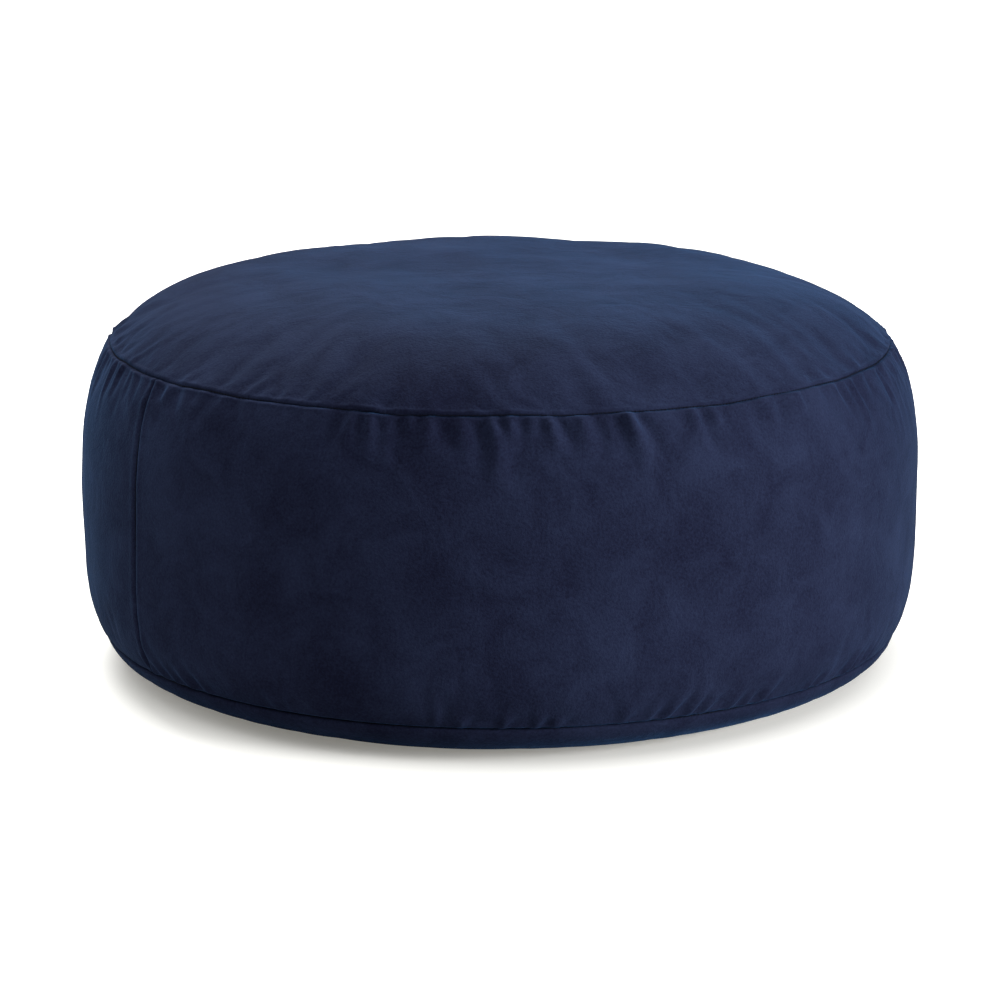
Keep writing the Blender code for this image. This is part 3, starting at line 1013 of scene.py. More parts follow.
    def refine(self, sewn: Mesh, relief: np.ndarray) -> Mesh:
        """Subdivide the closed cover once.

        Args:
            sewn: The closed cover.
            relief: The height of each vertex's ripple.

        Returns:
            The finer mesh at rest, with its ripple heights as the attribute "ripple".
        """
        rest = positions(sewn.vertices)
        rippled_places = rest + normals_of(sewn) * relief[:, None]
        holder = bpy.data.objects.new("cover_in_hand", sewn)
        bpy.context.scene.collection.objects.link(holder)
        finer = holder.modifiers.new("finer", "SUBSURF")
        finer.levels = finer.render_levels = 1
        shapes = []
        for kind, places in (
            ("CATMULL_CLARK", rippled_places),
            ("CATMULL_CLARK", rest),
            ("SIMPLE", rest),
        ):
            finer.subdivision_type = kind
            move_to(sewn, places)
            graph = bpy.context.evaluated_depsgraph_get()
            shapes.append(bpy.data.meshes.new_from_object(holder.evaluated_get(graph)))
        rippled, smooth, plain = shapes
        offset = positions(rippled.vertices) - positions(smooth.vertices)
        ripple = (offset * normals_of(plain)).sum(1).astype(np.float32)
        plain.attributes.new("ripple", "FLOAT", "POINT").data.foreach_set("value", ripple)
        bpy.data.objects.remove(holder)
        for mesh in (rippled, smooth, sewn):
            bpy.data.meshes.remove(mesh)
        return plain

    def cut_out(self, fine: Mesh, panel: Panel, name: str) -> Object:
        """Cut one panel from the closed cover, shape it, and turn its edges in.

        Args:
            fine: The closed cover.
            panel: Which panel to cut.
            name: The piece's name.

        Returns:
            The piece.
        """
        shape = bmesh.new()
        shape.from_mesh(fine)
        others = [f for f in shape.faces if f.material_index != panel.value]
        bmesh.ops.delete(shape, geom=others, context="FACES")
        ripple_layer = shape.verts.layers.float["ripple"]
        rest = np.array([v.co for v in shape.verts])
        ripple = np.array([v[ripple_layer] for v in shape.verts])
        line = self.line(panel)
        if panel in (Panel.TOP, Panel.BASE):
            radius = np.hypot(rest[:, 0], rest[:, 1])
            order = 1 if panel is Panel.TOP else -1
            run = np.interp(radius, line.radius[::order], line.run[::order])
        else:
            run = np.interp(rest[:, 2], line.height[::-1], line.run[::-1])
        outer, inner = (
            self.shaped(panel, bearings(rest), run, ripple, depth) for depth in (0.0, self.turning)
        )
        for vertex, place in zip(shape.verts, outer):
            vertex.co = place
        self.turn_in(shape, inner)
        return to_object(shape, name, self.suede)

    def turn_in(self, shape: BMesh, inner: np.ndarray) -> None:
        """Draw a panel's edges inwards as its seam allowances.

        Args:
            shape: The panel.
            inner: Where each of its vertices would lie at the allowance's depth.
        """
        shape.verts.ensure_lookup_table()
        shape.verts.index_update()
        rim = [edge for edge in shape.edges if edge.is_boundary]
        target = {tuple(v.co): inner[v.index] for edge in rim for v in edge.verts}
        made = bmesh.ops.extrude_edge_only(shape, edges=rim)["geom"]
        for vertex in (item for item in made if isinstance(item, BMVert)):
            vertex.co = target[tuple(vertex.co)]

    def shaped(
        self,
        panel: Panel,
        bearing: np.ndarray,
        run: np.ndarray,
        ripple: np.ndarray,
        depth: float,
    ) -> np.ndarray:
        """Where points of a panel lie once it is stuffed, gathered and sewn.

        Args:
            panel: The panel.
            bearing: Each point's bearing.
            run: Its length along the panel's outline.
            ripple: Its ripple from the simulation.
            depth: How far inside the surface to place it.

        Returns:
            The places, one row each.
        """
        form, line = self.form, self.line(panel)
        walls = panel in (Panel.FRONT, Panel.REAR)
        rest = round_axis(bearing, *line.at(run))
        # The weight of the beads presses the cloth smooth near the floor.
        loose = 0.1 + 0.9 * np.clip((rest[:, 2] - form.base_rise) / 0.07, 0, 1)
        height = (ripple + self.swells(panel, rest, run)) * loose
        sewn = np.zeros_like(run)
        if panel is not Panel.BASE:
            away = run if walls else line.length - run
            gathers = TOP_SEAM_GATHERS[walls]
            height += self.drawn_up(gathers, bearing, away, form.top_seam_radius, 11 + walls)
            height += self.seam_groove(bearing, away)
            gap = np.full_like(run, self.seam_half_gap)
            run = run + (gap if walls else -gap) * self.near(away)
            sewn = np.maximum(sewn, np.exp(-away / 0.03))
        if panel is not Panel.TOP:
            away = np.maximum((line.length - run) if walls else run, 0)
            gathers = BASE_SEAM_GATHERS[walls]
            height += self.drawn_up(gathers, bearing, away, form.base_seam_radius, 21 + walls)
            window = self.zip_window(bearing)
            groove = self.seam_groove(bearing + 77, away)
            height += self.base_groove * groove * (1 - 0.5 * window)
            gap = self.seam_half_gap + (self.zip_half_gap - self.seam_half_gap) * window
            run = run + (-gap if walls else gap) * self.near(away)
            # Beside the zip the edges turn in by no more than the tape's depth.
            depth = depth * (1 - 0.84 * window * np.clip(1 - away / 0.002, 0, 1))
        if walls:
            height, bearing = self.side_seams(height, bearing, run)
        radius, level = line.at(run, height - depth)
        level = level + form.seam_sway(bearing) * sewn
        return round_axis(bearing, radius, np.maximum(level, 0.0))

    def near(self, away: np.ndarray) -> np.ndarray:
        """1 at a seam, and 0 where the cloth that parts there has closed up."""
        return np.clip(1 - away / self.fade, 0, 1)

    def swells(self, panel: Panel, rest: np.ndarray, run: np.ndarray) -> np.ndarray:
        """The soft swells and hollows that loose beads leave in the cloth.

        Args:
            panel: The panel. The top's are larger, and the base has none on the floor.
            rest: Where each point lies on the outline.
            run: Its length along the outline.

        Returns:
            A height for each point.
        """
        height = self.swell * smooth_noise(rest, 0.13, 3.7)
        height += self.dimple * smooth_noise(rest, 0.05, 9.1)
        if panel is Panel.TOP:
            height *= 1 + 0.7 * np.clip((self.form.crown.length - run) / 0.06, 0, 1)
        if panel is Panel.BASE:
            height *= np.clip(1 - run / 0.06, 0, 1)
        return height

    def drawn_up(
        self,
        runs: tuple[Gathers, ...],
        bearing: np.ndarray,
        away: np.ndarray,
        radius: float,
        seed: int,
    ) -> np.ndarray:
        """The height that all of one seam's gathers give to a panel.

        Args:
            runs: The runs of gathers.
            bearing: Each point's bearing.
            away: Its distance from the seam.
            radius: The seam's radius.
            seed: Starts the random draws.

        Returns:
            A height for each point.
        """
        random = np.random.default_rng(seed)
        heights = (run.heights(bearing, away, radius, random) for run in runs)
        return sum(heights, np.zeros_like(away))

    def seam_groove(self, bearing: np.ndarray, away: np.ndarray) -> np.ndarray:
        """The groove that a seam pulls, with the low ridge beside it."""
        turn = np.radians(bearing)
        ridge = 0.0006 + 0.00025 * np.sin(23 * turn + 1) + 0.00015 * np.sin(51 * turn)
        groove = self.seam_dip * ridge_at(away, self.seam_width)
        return ridge * ridge_at(away - 0.0032, 0.0016) - groove

    def zip_window(self, bearing: np.ndarray) -> np.ndarray:
        """1 where the zip parts the base seam, 0 elsewhere, with short slopes at its ends."""
        turn = bearing % 360
        inside = np.minimum(turn - self.zip_start, self.zip_end - turn)
        return np.clip(inside / 0.5 + 0.5, 0, 1)

    def side_seams(
        self, height: np.ndarray, bearing: np.ndarray, run: np.ndarray
    ) -> tuple[np.ndarray, np.ndarray]:
        """Sink the wall at its two upright seams, and part it there.

        Args:
            height: Each point's height so far.
            bearing: Its bearing.
            run: Its length down the wall.

        Returns:
            The new heights and bearings.
        """
        offset = (bearing - self.form.side_seam_bearing + 90) % 180 - 90
        aside = np.radians(offset) * self.form.widest_radius
        away = np.abs(aside)
        pulls = 1 + 0.35 * np.sin(run * 260 + 1.3) + 0.25 * np.sin(run * 610)
        height = height - self.seam_dip * ridge_at(away, self.seam_width)
        height = height + 0.0006 * pulls * ridge_at(away - 0.0055, 0.003)
        parted = np.degrees(self.seam_half_gap / self.form.widest_radius) * self.near(away)
        return height, bearing + np.where(aside >= 0, 1, -1) * parted


# The sewing


@dataclass
class SeamStitching:
    """The lockstitch in the cover's four seams.

    A bar of thread crosses the seam at every stitch, and the thread runs along under them.
    """

    form: CushionForm
    thread: Material
    zip_start: float
    zip_end: float
    pitch: float = 0.0034
    thickness: float = 0.0006
    reach: float = 0.0022
    sunk: float = 0.0015
    slack: float = 0.0007  # how much higher the thread lies where it is sewn loosest
    clear: float = 0.004  # an upright seam's stitches stop this far from the ring seams

    def build(self) -> None:
        """Make the stitching of the top seam, the base seam and the two side seams."""
        form, left = self.form, self.form.side_seam_bearing
        self.ring("top_seam_thread", 0.0, -180, 180, form.top_seam_radius)
        start, end = self.zip_end - 360, self.zip_start
        self.ring("base_seam_thread", form.wall.length, start, end, form.base_seam_radius)
        self.upright("side_seam_thread_left", left)
        self.upright("side_seam_thread_right", left + 180)

    def ring(self, node: str, run: float, start: float, end: float, radius: float) -> None:
        """Sew along a ring seam.

        Args:
            node: The CAD node that the stitching stands for.
            run: The seam's place along the wall's outline.
            start: The bearing of the first stitch.
            end: The bearing of the last.
            radius: The seam's radius.
        """
        closed = end - start >= 360
        count = round(math.radians(end - start) * radius / self.pitch)
        turns = np.linspace(start, end, count, endpoint=not closed)
        loose = np.clip(np.sin(np.radians(15 * turns + 75)), 0, 1)
        out = self.slack * loose - self.sunk
        at_radius, at_height = self.form.wall.at(np.full_like(turns, run), out)
        places = round_axis(turns, at_radius, at_height + self.form.seam_sway(turns))
        alongs = round_axis(turns + 90, 1.0, 0.0)
        bars = [self.stitch(Vector(place), Vector(way)) for place, way in zip(places, alongs)]
        self.sew(node, bars + self.thread_under(places, closed))

    def upright(self, node: str, turn: float) -> None:
        """Sew down the wall at one bearing, as one of the two side seams."""
        line = self.form.wall
        runs = np.arange(self.clear, line.length - self.clear, self.pitch)
        places = round_axis(turn, *line.at(runs, -self.sunk))
        bars = [self.stitch(Vector(place), Vector((0, 0, 1))) for place in places]
        self.sew(node, bars + self.thread_under(places, False))

    def sew(self, node: str, grains: list[Matrix]) -> None:
        """Make one seam's thread from its grains, and file it."""
        piece = scattered(grain(6, 5), grains, f"stitched_{node}", self.thread)
        file_piece(piece, CUSHION, node)

    def stitch(self, place: Vector, along: Vector) -> Matrix:
        """Place one bar of thread across a seam.

        Args:
            place: Its middle.
            along: The way that the seam goes.

        Returns:
            Where a grain goes to make it.
        """
        out = Vector((place.x, place.y, 0)).normalized()
        across = along.cross(out).normalized()
        turned = Matrix((across, along, across.cross(along))).transposed().to_4x4()
        size = Matrix.Diagonal((self.reach / 2, self.thickness / 2, self.thickness / 2, 1))
        return Matrix.Translation(place) @ turned @ size

    def thread_under(self, places: np.ndarray, closed: bool) -> list[Matrix]:
        """Place the thread that runs through the middles of the stitches.

        Args:
            places: The middles of the stitches.
            closed: Whether the last is beside the first.

        Returns:
            Where each grain of its chain goes. They overlap end to end.
        """
        ends = np.roll(places, -1, axis=0) if closed else places[1:]
        chain = []
        for start, end in zip(places, ends):
            step = Vector(end) - Vector(start)
            turned = step.to_track_quat("Z", "Y").to_matrix().to_4x4()
            thin = self.thickness / 2.4
            size = Matrix.Diagonal((thin, thin, step.length * 0.62, 1))
            middle = Matrix.Translation((Vector(start) + Vector(end)) / 2)
            chain.append(middle @ turned @ size)
        return chain


# The zip


@dataclass
class ZipFastener:
    """The closed coil zip in the rear base seam.

    It has two woven tapes, two coils, two stops, a slider and its pull.
    """

    form: CushionForm
    finishes: Finishes
    tape_start: float = 140.0
    tape_end: float = 260.0
    coil_start: float = 141.66
    coil_end: float = 258.34
    slider_turn: float = 257.47
    tape_width: float = 0.012
    tape_thickness: float = 0.0008
    tape_inside: float = 0.0019  # from the cover's outer face
    tape_parting: float = 0.0003
    tooth_pitch: float = 0.00135
    tooth_half_thickness: float = 0.00031
    tooth_half_depth: float = 0.00095
    tooth_overlap: float = 0.0004  # how far a loop reaches past the zip's middle
    coil_half_width: float = 0.00234
    coil_centre_out: float = -0.00052
    coil_front: float = 0.00058
    stop_length: float = 0.0025
    stop_depth: float = 0.0018
    stop_beyond: float = 0.0016  # from the last loop to the stop's middle
    plate_gap: float = 0.0004
    plate: float = 0.0008
    slider_length: float = 0.011
    flange_depth: float = 0.0016
    arch_clear: float = 0.002  # the room under the arch
    arch_length: float = 0.009
    arch_width: float = 0.002
    arch_thickness: float = 0.001
    pull_length: float = 0.030
    pull_width: float = 0.0065
    pull_thickness: float = 0.0012
    eye_length: float = 0.0056
    eye_half_width: float = 0.0014
    eye_rail: float = 0.0012
    edge: float = 0.0003  # the radius of the castings' edges

    def build(self) -> None:
        """Make every piece of the zip."""
        for name, upper in (("upper", True), ("lower", False)):
            self.tape(f"zip_tape_{name}", upper)
            self.coil(f"zip_coil_{name}", upper)
        reach = math.degrees(self.stop_beyond / self.form.base_seam_radius)
        self.stop("zip_start_stop", self.coil_start - reach)
        self.stop("zip_end_stop", self.coil_end + reach)
        self.slider()
        self.pull()

    def axes(self) -> tuple[Vector, Vector]:
        """Find the way up the zip, about which the pull swings, and the way out of it.

        Returns:
            Each as radius and height.
        """
        swing = next(joint for joint in frame["joints"] if joint["name"] == "pull_swing")
        axis = Vector(swing["axis"])
        up = Vector((math.hypot(axis.x, axis.y), axis.z)).normalized()
        return up, Vector((up.y, -up.x))

    def frame_at(self, turn: float, out_by: float = 0.0) -> Matrix:
        """The zip's frame at a bearing: X along the zip, Y up it and Z out of the cushion.

        Args:
            turn: The bearing in degrees.
            out_by: How far out of the zip's plane, in metres.

        Returns:
            The matrix.
        """
        up, out = self.axes()
        radial, rise = Vector(round_axis(turn, 1.0, 0.0)), Vector((0, 0, 1))
        y_axis, z_axis = radial * up.x + rise * up.y, radial * out.x + rise * out.y
        matrix = Matrix((y_axis.cross(z_axis), y_axis, z_axis)).transposed().to_4x4()
        place = Vector((self.form.base_seam_radius, self.form.base_rise)) + out * out_by
        matrix.translation = radial * place.x + rise * place.y
        return matrix

    def cast(self, shape: BMesh, place: Matrix, name: str, body: str, node: str) -> None:
        """Put a metal part in its place, and file it.

        Args:
            shape: The part, in the zip's frame.
            place: That frame.
            name: The piece's name.
            body: The CAD body that it rides on.
            node: The CAD node that it stands for.
        """
        bmesh.ops.transform(shape, matrix=place, verts=shape.verts)
        file_piece(to_object(shape, name, self.finishes.metal), body, node)

    def tape(self, node: str, upper: bool) -> None:
        """Weave one tape, which lies under the edge of the wall or of the base panel.

        Args:
            node: The CAD node that it stands for.
            upper: Whether it is the wall's tape.
        """
        line = self.form.wall if upper else self.form.base
        shape = bmesh.new()
        bmesh.ops.create_grid(shape, x_segments=360, y_segments=6, size=1)
        flat = np.array([v.co for v in shape.verts])
        turn = self.tape_start + (self.tape_end - self.tape_start) * (flat[:, 0] + 1) / 2
        away = self.tape_parting + self.tape_width * (flat[:, 1] + 1) / 2
        run = line.length - away if upper else away
        places = round_axis(turn, *line.at(run, -self.tape_inside))
        woven = np.stack((np.radians(turn) * self.form.base_seam_radius, away), axis=1)
        uv = shape.loops.layers.uv.new("tape")
        for vertex, place in zip(shape.verts, places):
            vertex.co = place
        shape.verts.index_update()
        for loop in (corner for face in shape.faces for corner in face.loops):
            loop[uv].uv = woven[loop.vert.index]
        face_out(shape)
        piece = to_object(shape, f"woven_{node}", self.finishes.tape)
        thick = piece.modifiers.new("thickness", "SOLIDIFY")
        thick.thickness, thick.offset = self.tape_thickness, -1
        file_piece(piece, CUSHION, node)

    def coil(self, node: str, upper: bool) -> None:
        """Wind one coil: rounded loops that reach in between the other coil's.

        Args:
            node: The CAD node that it stands for.
            upper: Whether it is on the wall's tape.
        """
        side = 1 if upper else -1
        step = math.degrees(self.tooth_pitch / self.form.base_seam_radius)
        inner, outer = -self.tooth_overlap, self.coil_half_width
        loop_size = (self.tooth_half_thickness, (outer - inner) / 2, self.tooth_half_depth, 1)
        loop_place = Matrix.Translation((0, side * (inner + outer) / 2, 0))
        loop = loop_place @ Matrix.Diagonal(loop_size)
        # The filament goes from loop to loop along the coil's outer edge.
        back_size = (self.tooth_pitch * 0.7, 0.0003, 0.0008, 1)
        back_place = Matrix.Translation((0, side * (outer - 0.0002), -0.0001))
        back = back_place @ Matrix.Diagonal(back_size)
        first = self.coil_start + (0.25 if upper else 0.75) * step
        turns = np.arange(first, self.coil_end - step, step)
        parts = [self.frame_at(turn, self.coil_centre_out) @ loop for turn in turns]
        parts += [self.frame_at(turn + step / 2, self.coil_centre_out) @ back for turn in turns]
        piece = scattered(grain(6, 6), parts, f"wound_{node}", self.finishes.coil)
        file_piece(piece, CUSHION, node)

    def stop(self, node: str, turn: float) -> None:
        """Crimp one metal stop round the ends of the coils."""
        shape = bmesh.new()
        width = 2 * (self.coil_half_width + 0.00025)
        rounded_block(shape, (self.stop_length, width, self.stop_depth), 0.0004)
        place = self.frame_at(turn, self.coil_centre_out)
        self.cast(shape, place, f"crimped_{node}", CUSHION, node)

    def slider(self) -> None:
        """Cast the slider: a plate, two flanges that hold the coils, and the pull's arch."""
        top = self.coil_front + self.plate_gap + self.plate
        outside = self.coil_half_width + self.plate_gap + self.plate
        shape = bmesh.new()
        size = (self.slider_length, 2 * outside, self.plate)
        plate = rounded_block(shape, size, self.edge, (0, 0, top - self.plate / 2))
        flange = (self.slider_length, self.plate, self.flange_depth)
        for side in (-1, 1):
            place = (0, side * (outside - self.plate / 2), top - self.flange_depth / 2)
            rounded_block(shape, flange, self.edge, place)
        for vertex in plate:
            if vertex.co.x > 0:
                vertex.co.y *= 1 - 0.12 * vertex.co.x / (self.slider_length / 2)
        foot = (self.arch_thickness, self.arch_width, self.arch_clear + 0.0004)
        apart = (self.arch_length - self.arch_thickness) / 2
        for side in (-1, 1):
            rounded_block(shape, foot, 0.0002, (side * apart, 0, top + self.arch_clear / 2))
        arch = (self.arch_length, self.arch_width, self.arch_thickness)
        rounded_block(shape, arch, 0.0004, (0, 0, top + self.arch_clear + self.arch_thickness / 2))
        self.cast(shape, self.frame_at(self.slider_turn), "cast_zip_slider", SLIDER, "zip_slider")

    def pull(self) -> None:
        """Cast the pull: an eye round the arch and a flat tongue, lying back over the zip."""
        thickness, half = self.pull_thickness, self.pull_thickness / 2
        eye, half_eye, rail = self.eye_length, self.eye_half_width, self.eye_rail
        shape = bmesh.new()
        rounded_block(shape, (thickness, 2 * (half_eye + rail), thickness), self.edge)
        into_tongue = 0.002
        for side in (-1, 1):
            place = ((eye + into_tongue) / 2, side * (half_eye + rail / 2), 0)
            rounded_block(shape, (eye + into_tongue, rail, thickness), self.edge, place)
        tongue = self.pull_length - half - eye
        size, place = (tongue, self.pull_width, thickness), (eye + half + tongue / 2, 0, 0)
        block = rounded_block(shape, size, self.edge, place, cuts=10)
        round_start = self.pull_length - self.pull_width / 2
        shoulder = 0.004
        for vertex in block:
            beyond = max(0.0, vertex.co.x - round_start) / (self.pull_width / 2)
            before = max(0.0, eye + half + shoulder - vertex.co.x) / shoulder
            rounding = math.sqrt(max(0.02, 1 - min(beyond, 1) ** 2))
            vertex.co.y *= rounding * (1 - 0.2 * min(before, 1))
        # A swing brings a corner of the eye's bar down, so the bar lies half a diagonal up.
        above = self.coil_front + self.plate_gap + self.plate + thickness / math.sqrt(2) + 0.00015
        place = self.frame_at(self.slider_turn, above) @ Matrix.Rotation(math.pi, 4, "Z")
        self.cast(shape, place, "cast_zip_pull", PULL, "zip_pull")


def rounded_block(
    shape: BMesh,
    size: tuple[float, float, float],
    edge: float,
    centre: tuple[float, float, float] = (0, 0, 0),
    cuts: int = 0,
) -> list[BMVert]:
    """Add a block with rounded edges.

    Args:
        shape: The bmesh that it goes in.
        size: Its length, width and height.
        edge: The radius of its edges.
        centre: Its middle.
        cuts: Cuts across its length.

    Returns:
        Its vertices.
    """
    before = set(shape.verts)
    made = bmesh.ops.create_cube(shape, size=1)["verts"]
    bmesh.ops.scale(shape, vec=size, verts=made)
    bmesh.ops.translate(shape, vec=centre, verts=made)
    edges = list({e for v in made for e in v.link_edges})
    bmesh.ops.bevel(
        shape, geom=edges, offset=edge, affect="EDGES", segments=2, profile=0.5, material=-1
    )
    if cuts:
        links = {e for v in shape.verts if v not in before for e in v.link_edges}
        long_way = [e for e in links if abs(e.verts[0].co.x - e.verts[1].co.x) > size[0] / 2]
        bmesh.ops.subdivide_edges(shape, edges=long_way, cuts=cuts, use_grid_fill=True)
    return [v for v in shape.verts if v not in before]


def face_out(shape: BMesh) -> None:
    """Turn an open strip round if its faces look in towards the cushion's middle."""
    shape.normal_update()
    looking_out = sum(
        (face.calc_center_median() - INSIDE).dot(face.normal) * face.calc_area()
        for face in shape.faces
    )
    if looking_out < 0:
        bmesh.ops.reverse_faces(shape, faces=shape.faces)


# The label


@dataclass
class CareLabel:
    """The blank satin care label, caught in the base seam behind the right side seam."""

    finish: Material
    width: float = 0.030
    thickness: float = 0.0004
    bend: float = 0.0015
    stands_out: float = 0.0008

    def build(self) -> None:
        """Cut the label and let its free end stand away a little."""
        low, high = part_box("care_label")
        middle = (low + high) / 2
        length = high.z - low.z
        radius = math.hypot(middle.x, middle.y)
        shape = bmesh.new()
        bmesh.ops.create_grid(shape, x_segments=20, y_segments=16, size=0.5)
        uv = shape.loops.layers.uv.new("label")
        for loop in (corner for face in shape.faces for corner in face.loops):
            loop[uv].uv = (loop.vert.co.x * self.width, loop.vert.co.y * length)
        flat = np.array([v.co for v in shape.verts])
        down = 0.5 - flat[:, 1]
        waved = 0.35 * down * np.sin(2 * math.pi * flat[:, 0] + 0.6)
        out = radius + self.stands_out + self.bend * (down**2 * 0.8 + waved)
        turned = Matrix.Rotation(math.atan2(middle.y, middle.x), 4, "Z")
        for vertex, sunk, stand in zip(shape.verts, down, out):
            place = Vector((stand, vertex.co.x * self.width, high.z - sunk * length))
            vertex.co = turned @ place
        face_out(shape)
        piece = to_object(shape, "satin_care_label", self.finish)
        thick = piece.modifiers.new("thickness", "SOLIDIFY")
        thick.thickness, thick.offset = self.thickness, 0
        file_piece(piece, CUSHION, "care_label")


# The liner and its beads


@dataclass
class InnerBag:
    """The lining bag: a top, a band and a base, with their seams, full of foam beads."""

    form: CushionForm
    liner: Material
    beads: Material
    inside: float = 0.0080  # from the cover's outer face, clear of its gathers
    bead_inside: float = 0.0095
    thickness: float = 0.0008
    parting: float = 0.4  # how much of its last row an edge gives up at a seam
    thread_radius: float = 0.0003
    stitch_pitch: float = 0.004
    stitches_round: int = 360

    def build(self) -> None:
        """Make the bag's three panels, its three seams and its filling."""
        form = self.form
        self.panel("liner_top_panel", form.crown, False, True)
        self.panel("liner_band", form.wall, True, True)
        self.panel("liner_base_panel", form.base, True, False)
        self.ring_thread("liner_top_seam_thread", form.wall)
        self.ring_thread("liner_base_seam_thread", form.base)
        self.filling_thread()
        self.filling()

    def rows(self, line: Line, inside: float, count: int) -> list[tuple[float, float]]:
        """Points along a line, that far inside it, as radius and height."""
        run = line.length * (0.5 - 0.5 * np.cos(np.linspace(0, math.pi, count)))
        radius, height = line.at(run, -inside)
        return [(max(float(r), 0.0), float(h)) for r, h in zip(radius, height)]

    def spun(self, rows: list[tuple[float, float]]) -> BMesh:
        """Turn a row of points round the cushion's axis.

        Args:
            rows: The points, as radius and height.

        Returns:
            The skin, facing out.
        """
        shape = bmesh.new()
        start = math.radians(self.form.side_seam_bearing - 90)
        line = [shape.verts.new((r * math.cos(start), r * math.sin(start), h)) for r, h in rows]
        edges = [shape.edges.new(pair) for pair in zip(line, line[1:])]
        bmesh.ops.spin(
            shape,
            geom=line + edges,
            cent=(0, 0, 0),
            axis=(0, 0, 1),
            dvec=(0, 0, 0),
            angle=2 * math.pi,
            steps=120,
            use_merge=True,
        )
        bmesh.ops.remove_doubles(shape, verts=shape.verts, dist=1e-6)
        bmesh.ops.dissolve_degenerate(shape, dist=1e-7, edges=shape.edges)
        face_out(shape)
        return shape

    def panel(self, node: str, line: Line, from_seam: bool, to_seam: bool) -> None:
        """Make one panel of the bag.

        Args:
            node: The CAD node that it stands for.
            line: The outline that it follows.
            from_seam: Whether it starts at a seam, parted there from the next panel.
            to_seam: Whether it ends at one.
        """
        rows = self.rows(line, self.inside, 48)
        if from_seam:
            rows[0] = tuple(np.add(rows[0], np.subtract(rows[1], rows[0]) * self.parting))
        if to_seam:
            rows[-1] = tuple(np.add(rows[-1], np.subtract(rows[-2], rows[-1]) * self.parting))
        piece = to_object(self.spun(rows), f"sewn_{node}", self.liner)
        thick = piece.modifiers.new("thickness", "SOLIDIFY")
        thick.thickness, thick.offset = self.thickness, -1
        file_piece(piece, CUSHION, node)

    def ring_thread(self, node: str, line: Line) -> None:
        """Sew the ring seam at the start of a panel's outline."""
        radius, height = line.at(np.array(0.0), -self.inside - 2 * self.thread_radius)
        half_length = math.pi * float(radius) / self.stitches_round * 1.1
        size = Matrix.Diagonal((half_length, self.thread_radius, self.thread_radius, 1))
        stitches = []
        for turn in np.arange(self.stitches_round) * 360 / self.stitches_round:
            place = Matrix.Translation(Vector(round_axis(turn, radius, height)))
            stitches.append(place @ Matrix.Rotation(math.radians(turn), 4, "Z") @ size)
        self.sew(node, stitches)

    def filling_thread(self) -> None:
        """Sew the band's upright seam, where the beads went in."""
        line = self.form.wall
        size = Matrix.Diagonal((self.thread_radius, self.thread_radius, 0.0021, 1))
        runs = np.arange(0.01, line.length - 0.01, self.stitch_pitch)
        bearing = self.form.side_seam_bearing + 180
        places = round_axis(bearing, *line.at(runs, -self.inside + self.thickness / 2))
        stitches = [Matrix.Translation(Vector(place)) @ size for place in places]
        self.sew("liner_filling_seam_thread", stitches)

    def sew(self, node: str, stitches: list[Matrix]) -> None:
        """Make one seam's thread from its stitches, and file it."""
        piece = scattered(grain(6, 5), stitches, f"stitched_{node}", self.liner)
        file_piece(piece, CUSHION, node)

    def filling(self) -> None:
        """Fill the bag with its beads, as one mass."""
        lines = (self.form.crown, self.form.wall, self.form.base)
        rows = [row for line in lines for row in self.rows(line, self.bead_inside, 40)[:-1]]
        rows.append(self.rows(self.form.base, self.bead_inside, 40)[-1])
        piece = to_object(self.spun(rows), "packed_bead_filling", self.beads)
        file_piece(piece, CUSHION, "bead_filling")


# The studio


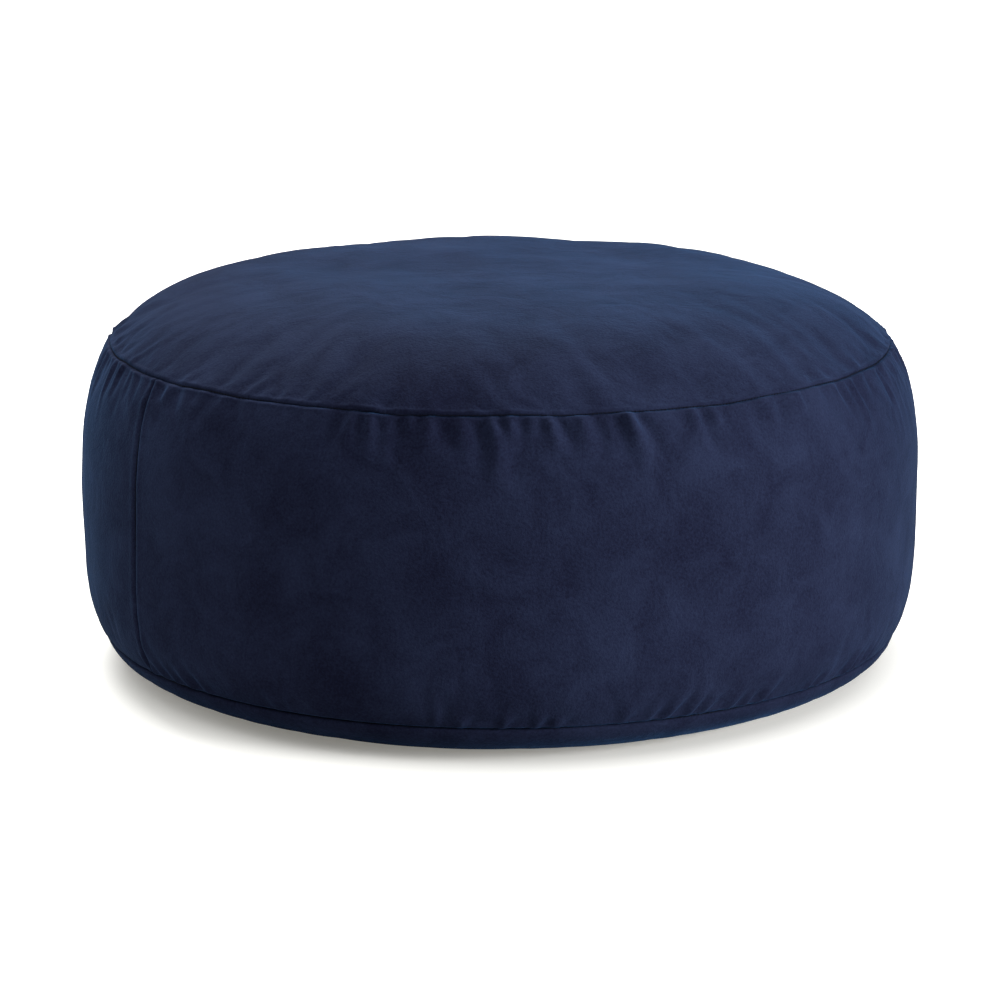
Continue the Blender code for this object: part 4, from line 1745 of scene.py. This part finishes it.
@dataclass
class Studio:
    """A plain pale floor, soft lights, and the camera.

    A large light hangs above and behind, a low strong one stands at the right and a weak one at
    the left, and the white ceiling fills in.
    """

    distance: float = 3.0
    elevation: float = 13.26
    lens: float = 111.6
    look_at: tuple[float, float, float] = (0.0, 0.0, 0.1452)
    around: tuple[float, float, float] = (0.0, 0.0, 0.17)
    lit_at: tuple[float, float, float] = (0.0, 0.0, 0.2)
    walls: float = 0.07  # how bright the room is to the sides
    ceiling: float = 2.6  # and straight above

    def build(self) -> None:
        """Set up the floor, the lights and the camera."""
        self.floor()
        self.room()
        self.lamp("key_light", (-0.6, 1.6, 2.3), 2.2, 114)
        self.lamp("right_light", (3.0, -1.45, 0.75), 1.25, 168)
        self.lamp("left_light", (-2.8, 0.3, 0.9), 1.2, 11)
        self.camera()
        bpy.context.scene.view_settings.view_transform = "Standard"

    def floor(self) -> None:
        """Lay the floor, as matt studio paper that gives back little light to the cushion."""
        material, tree, shader = blank("studio_paper")
        seen = add_node(tree, "ShaderNodeLightPath").outputs["Is Camera Ray"]
        tone = add_node(
            tree,
            "ShaderNodeMix",
            {0: seen, 6: linear("#cdcdcb"), 7: linear("#fafaf7")},
            data_type="RGBA",
        )
        glow = add_node(tree, "ShaderNodeMath", {0: seen, 1: 0.2}, operation="MULTIPLY")
        feed(
            tree,
            shader,
            {
                "Base Color": tone.outputs[2],
                "Roughness": 0.95,
                "Specular IOR Level": 0.1,
                "Emission Color": linear("#fffcf2"),
                "Emission Strength": glow.outputs[0],
            },
        )
        shape = bmesh.new()
        bmesh.ops.create_circle(shape, cap_ends=True, segments=96, radius=24)
        to_object(shape, "studio_floor", material)

    def room(self) -> None:
        """Light the room from above, as through a white ceiling, and weakly from its walls."""
        world = bpy.data.worlds.new("studio_room")
        world.use_nodes = True
        tree = world.node_tree
        tree.nodes.clear()
        seen = add_node(tree, "ShaderNodeLightPath").outputs["Is Camera Ray"]
        facing = add_node(tree, "ShaderNodeTexCoord").outputs["Generated"]
        rise = add_node(tree, "ShaderNodeSeparateXYZ", {0: facing}).outputs[2]
        steep = add_node(
            tree, "ShaderNodeMath", {0: rise, 1: 3.0}, operation="POWER", use_clamp=True
        )
        strength = add_node(
            tree, "ShaderNodeMapRange", {0: steep.outputs[0], 3: self.walls, 4: self.ceiling}
        )
        white = linear("#ffffff")
        lit, paper = (
            add_node(tree, "ShaderNodeBackground", {"Color": white, "Strength": value})
            for value in (strength.outputs[0], 1.0)
        )
        either = add_node(
            tree, "ShaderNodeMixShader", {0: seen, 1: lit.outputs[0], 2: paper.outputs[0]}
        )
        add_node(tree, "ShaderNodeOutputWorld", {"Surface": either.outputs[0]})
        bpy.context.scene.world = world

    def aimed(self, thing: Object, place: Vector, target: Vector) -> None:
        """Put a lamp or the camera in its place, pointing at a target, in the scene."""
        thing.location = place
        thing.rotation_euler = (target - place).to_track_quat("-Z", "Y").to_euler()
        bpy.context.scene.collection.objects.link(thing)

    def lamp(self, name: str, place: tuple[float, float, float], size: float, power: float) -> None:
        """Hang a square soft light that points at the cushion.

        Args:
            name: The light's name.
            place: Where it hangs.
            size: Its side in metres.
            power: Its power in watts.
        """
        light = bpy.data.lights.new(name, "AREA")
        light.shape, light.size, light.energy = "SQUARE", size, power
        self.aimed(bpy.data.objects.new(name, light), Vector(place), Vector(self.lit_at))

    def camera(self) -> None:
        """Place the camera in front of the cushion, a little above it."""
        tilt = math.radians(self.elevation)
        data = bpy.data.cameras.new("camera")
        data.lens, data.sensor_width = self.lens, 36
        camera = bpy.data.objects.new("camera", data)
        back = Vector((0, -math.cos(tilt), math.sin(tilt)))
        place = Vector(self.around) + self.distance * back
        self.aimed(camera, place, Vector(self.look_at))
        bpy.context.scene.camera = camera


def main() -> None:
    """Build the cushion from the outside in, then the studio."""
    logging.basicConfig(level=logging.INFO, format="%(relativeCreated)d ms: %(message)s")
    form, finishes = CushionForm(), Finishes()
    cover = Cover(form, finishes.suede)
    cover.build()
    SeamStitching(form, finishes.thread, cover.zip_start, cover.zip_end).build()
    ZipFastener(form, finishes).build()
    CareLabel(finishes.label).build()
    InnerBag(form, finishes.liner, finishes.beads).build()
    Studio().build()


if __name__ == "__main__":
    main()
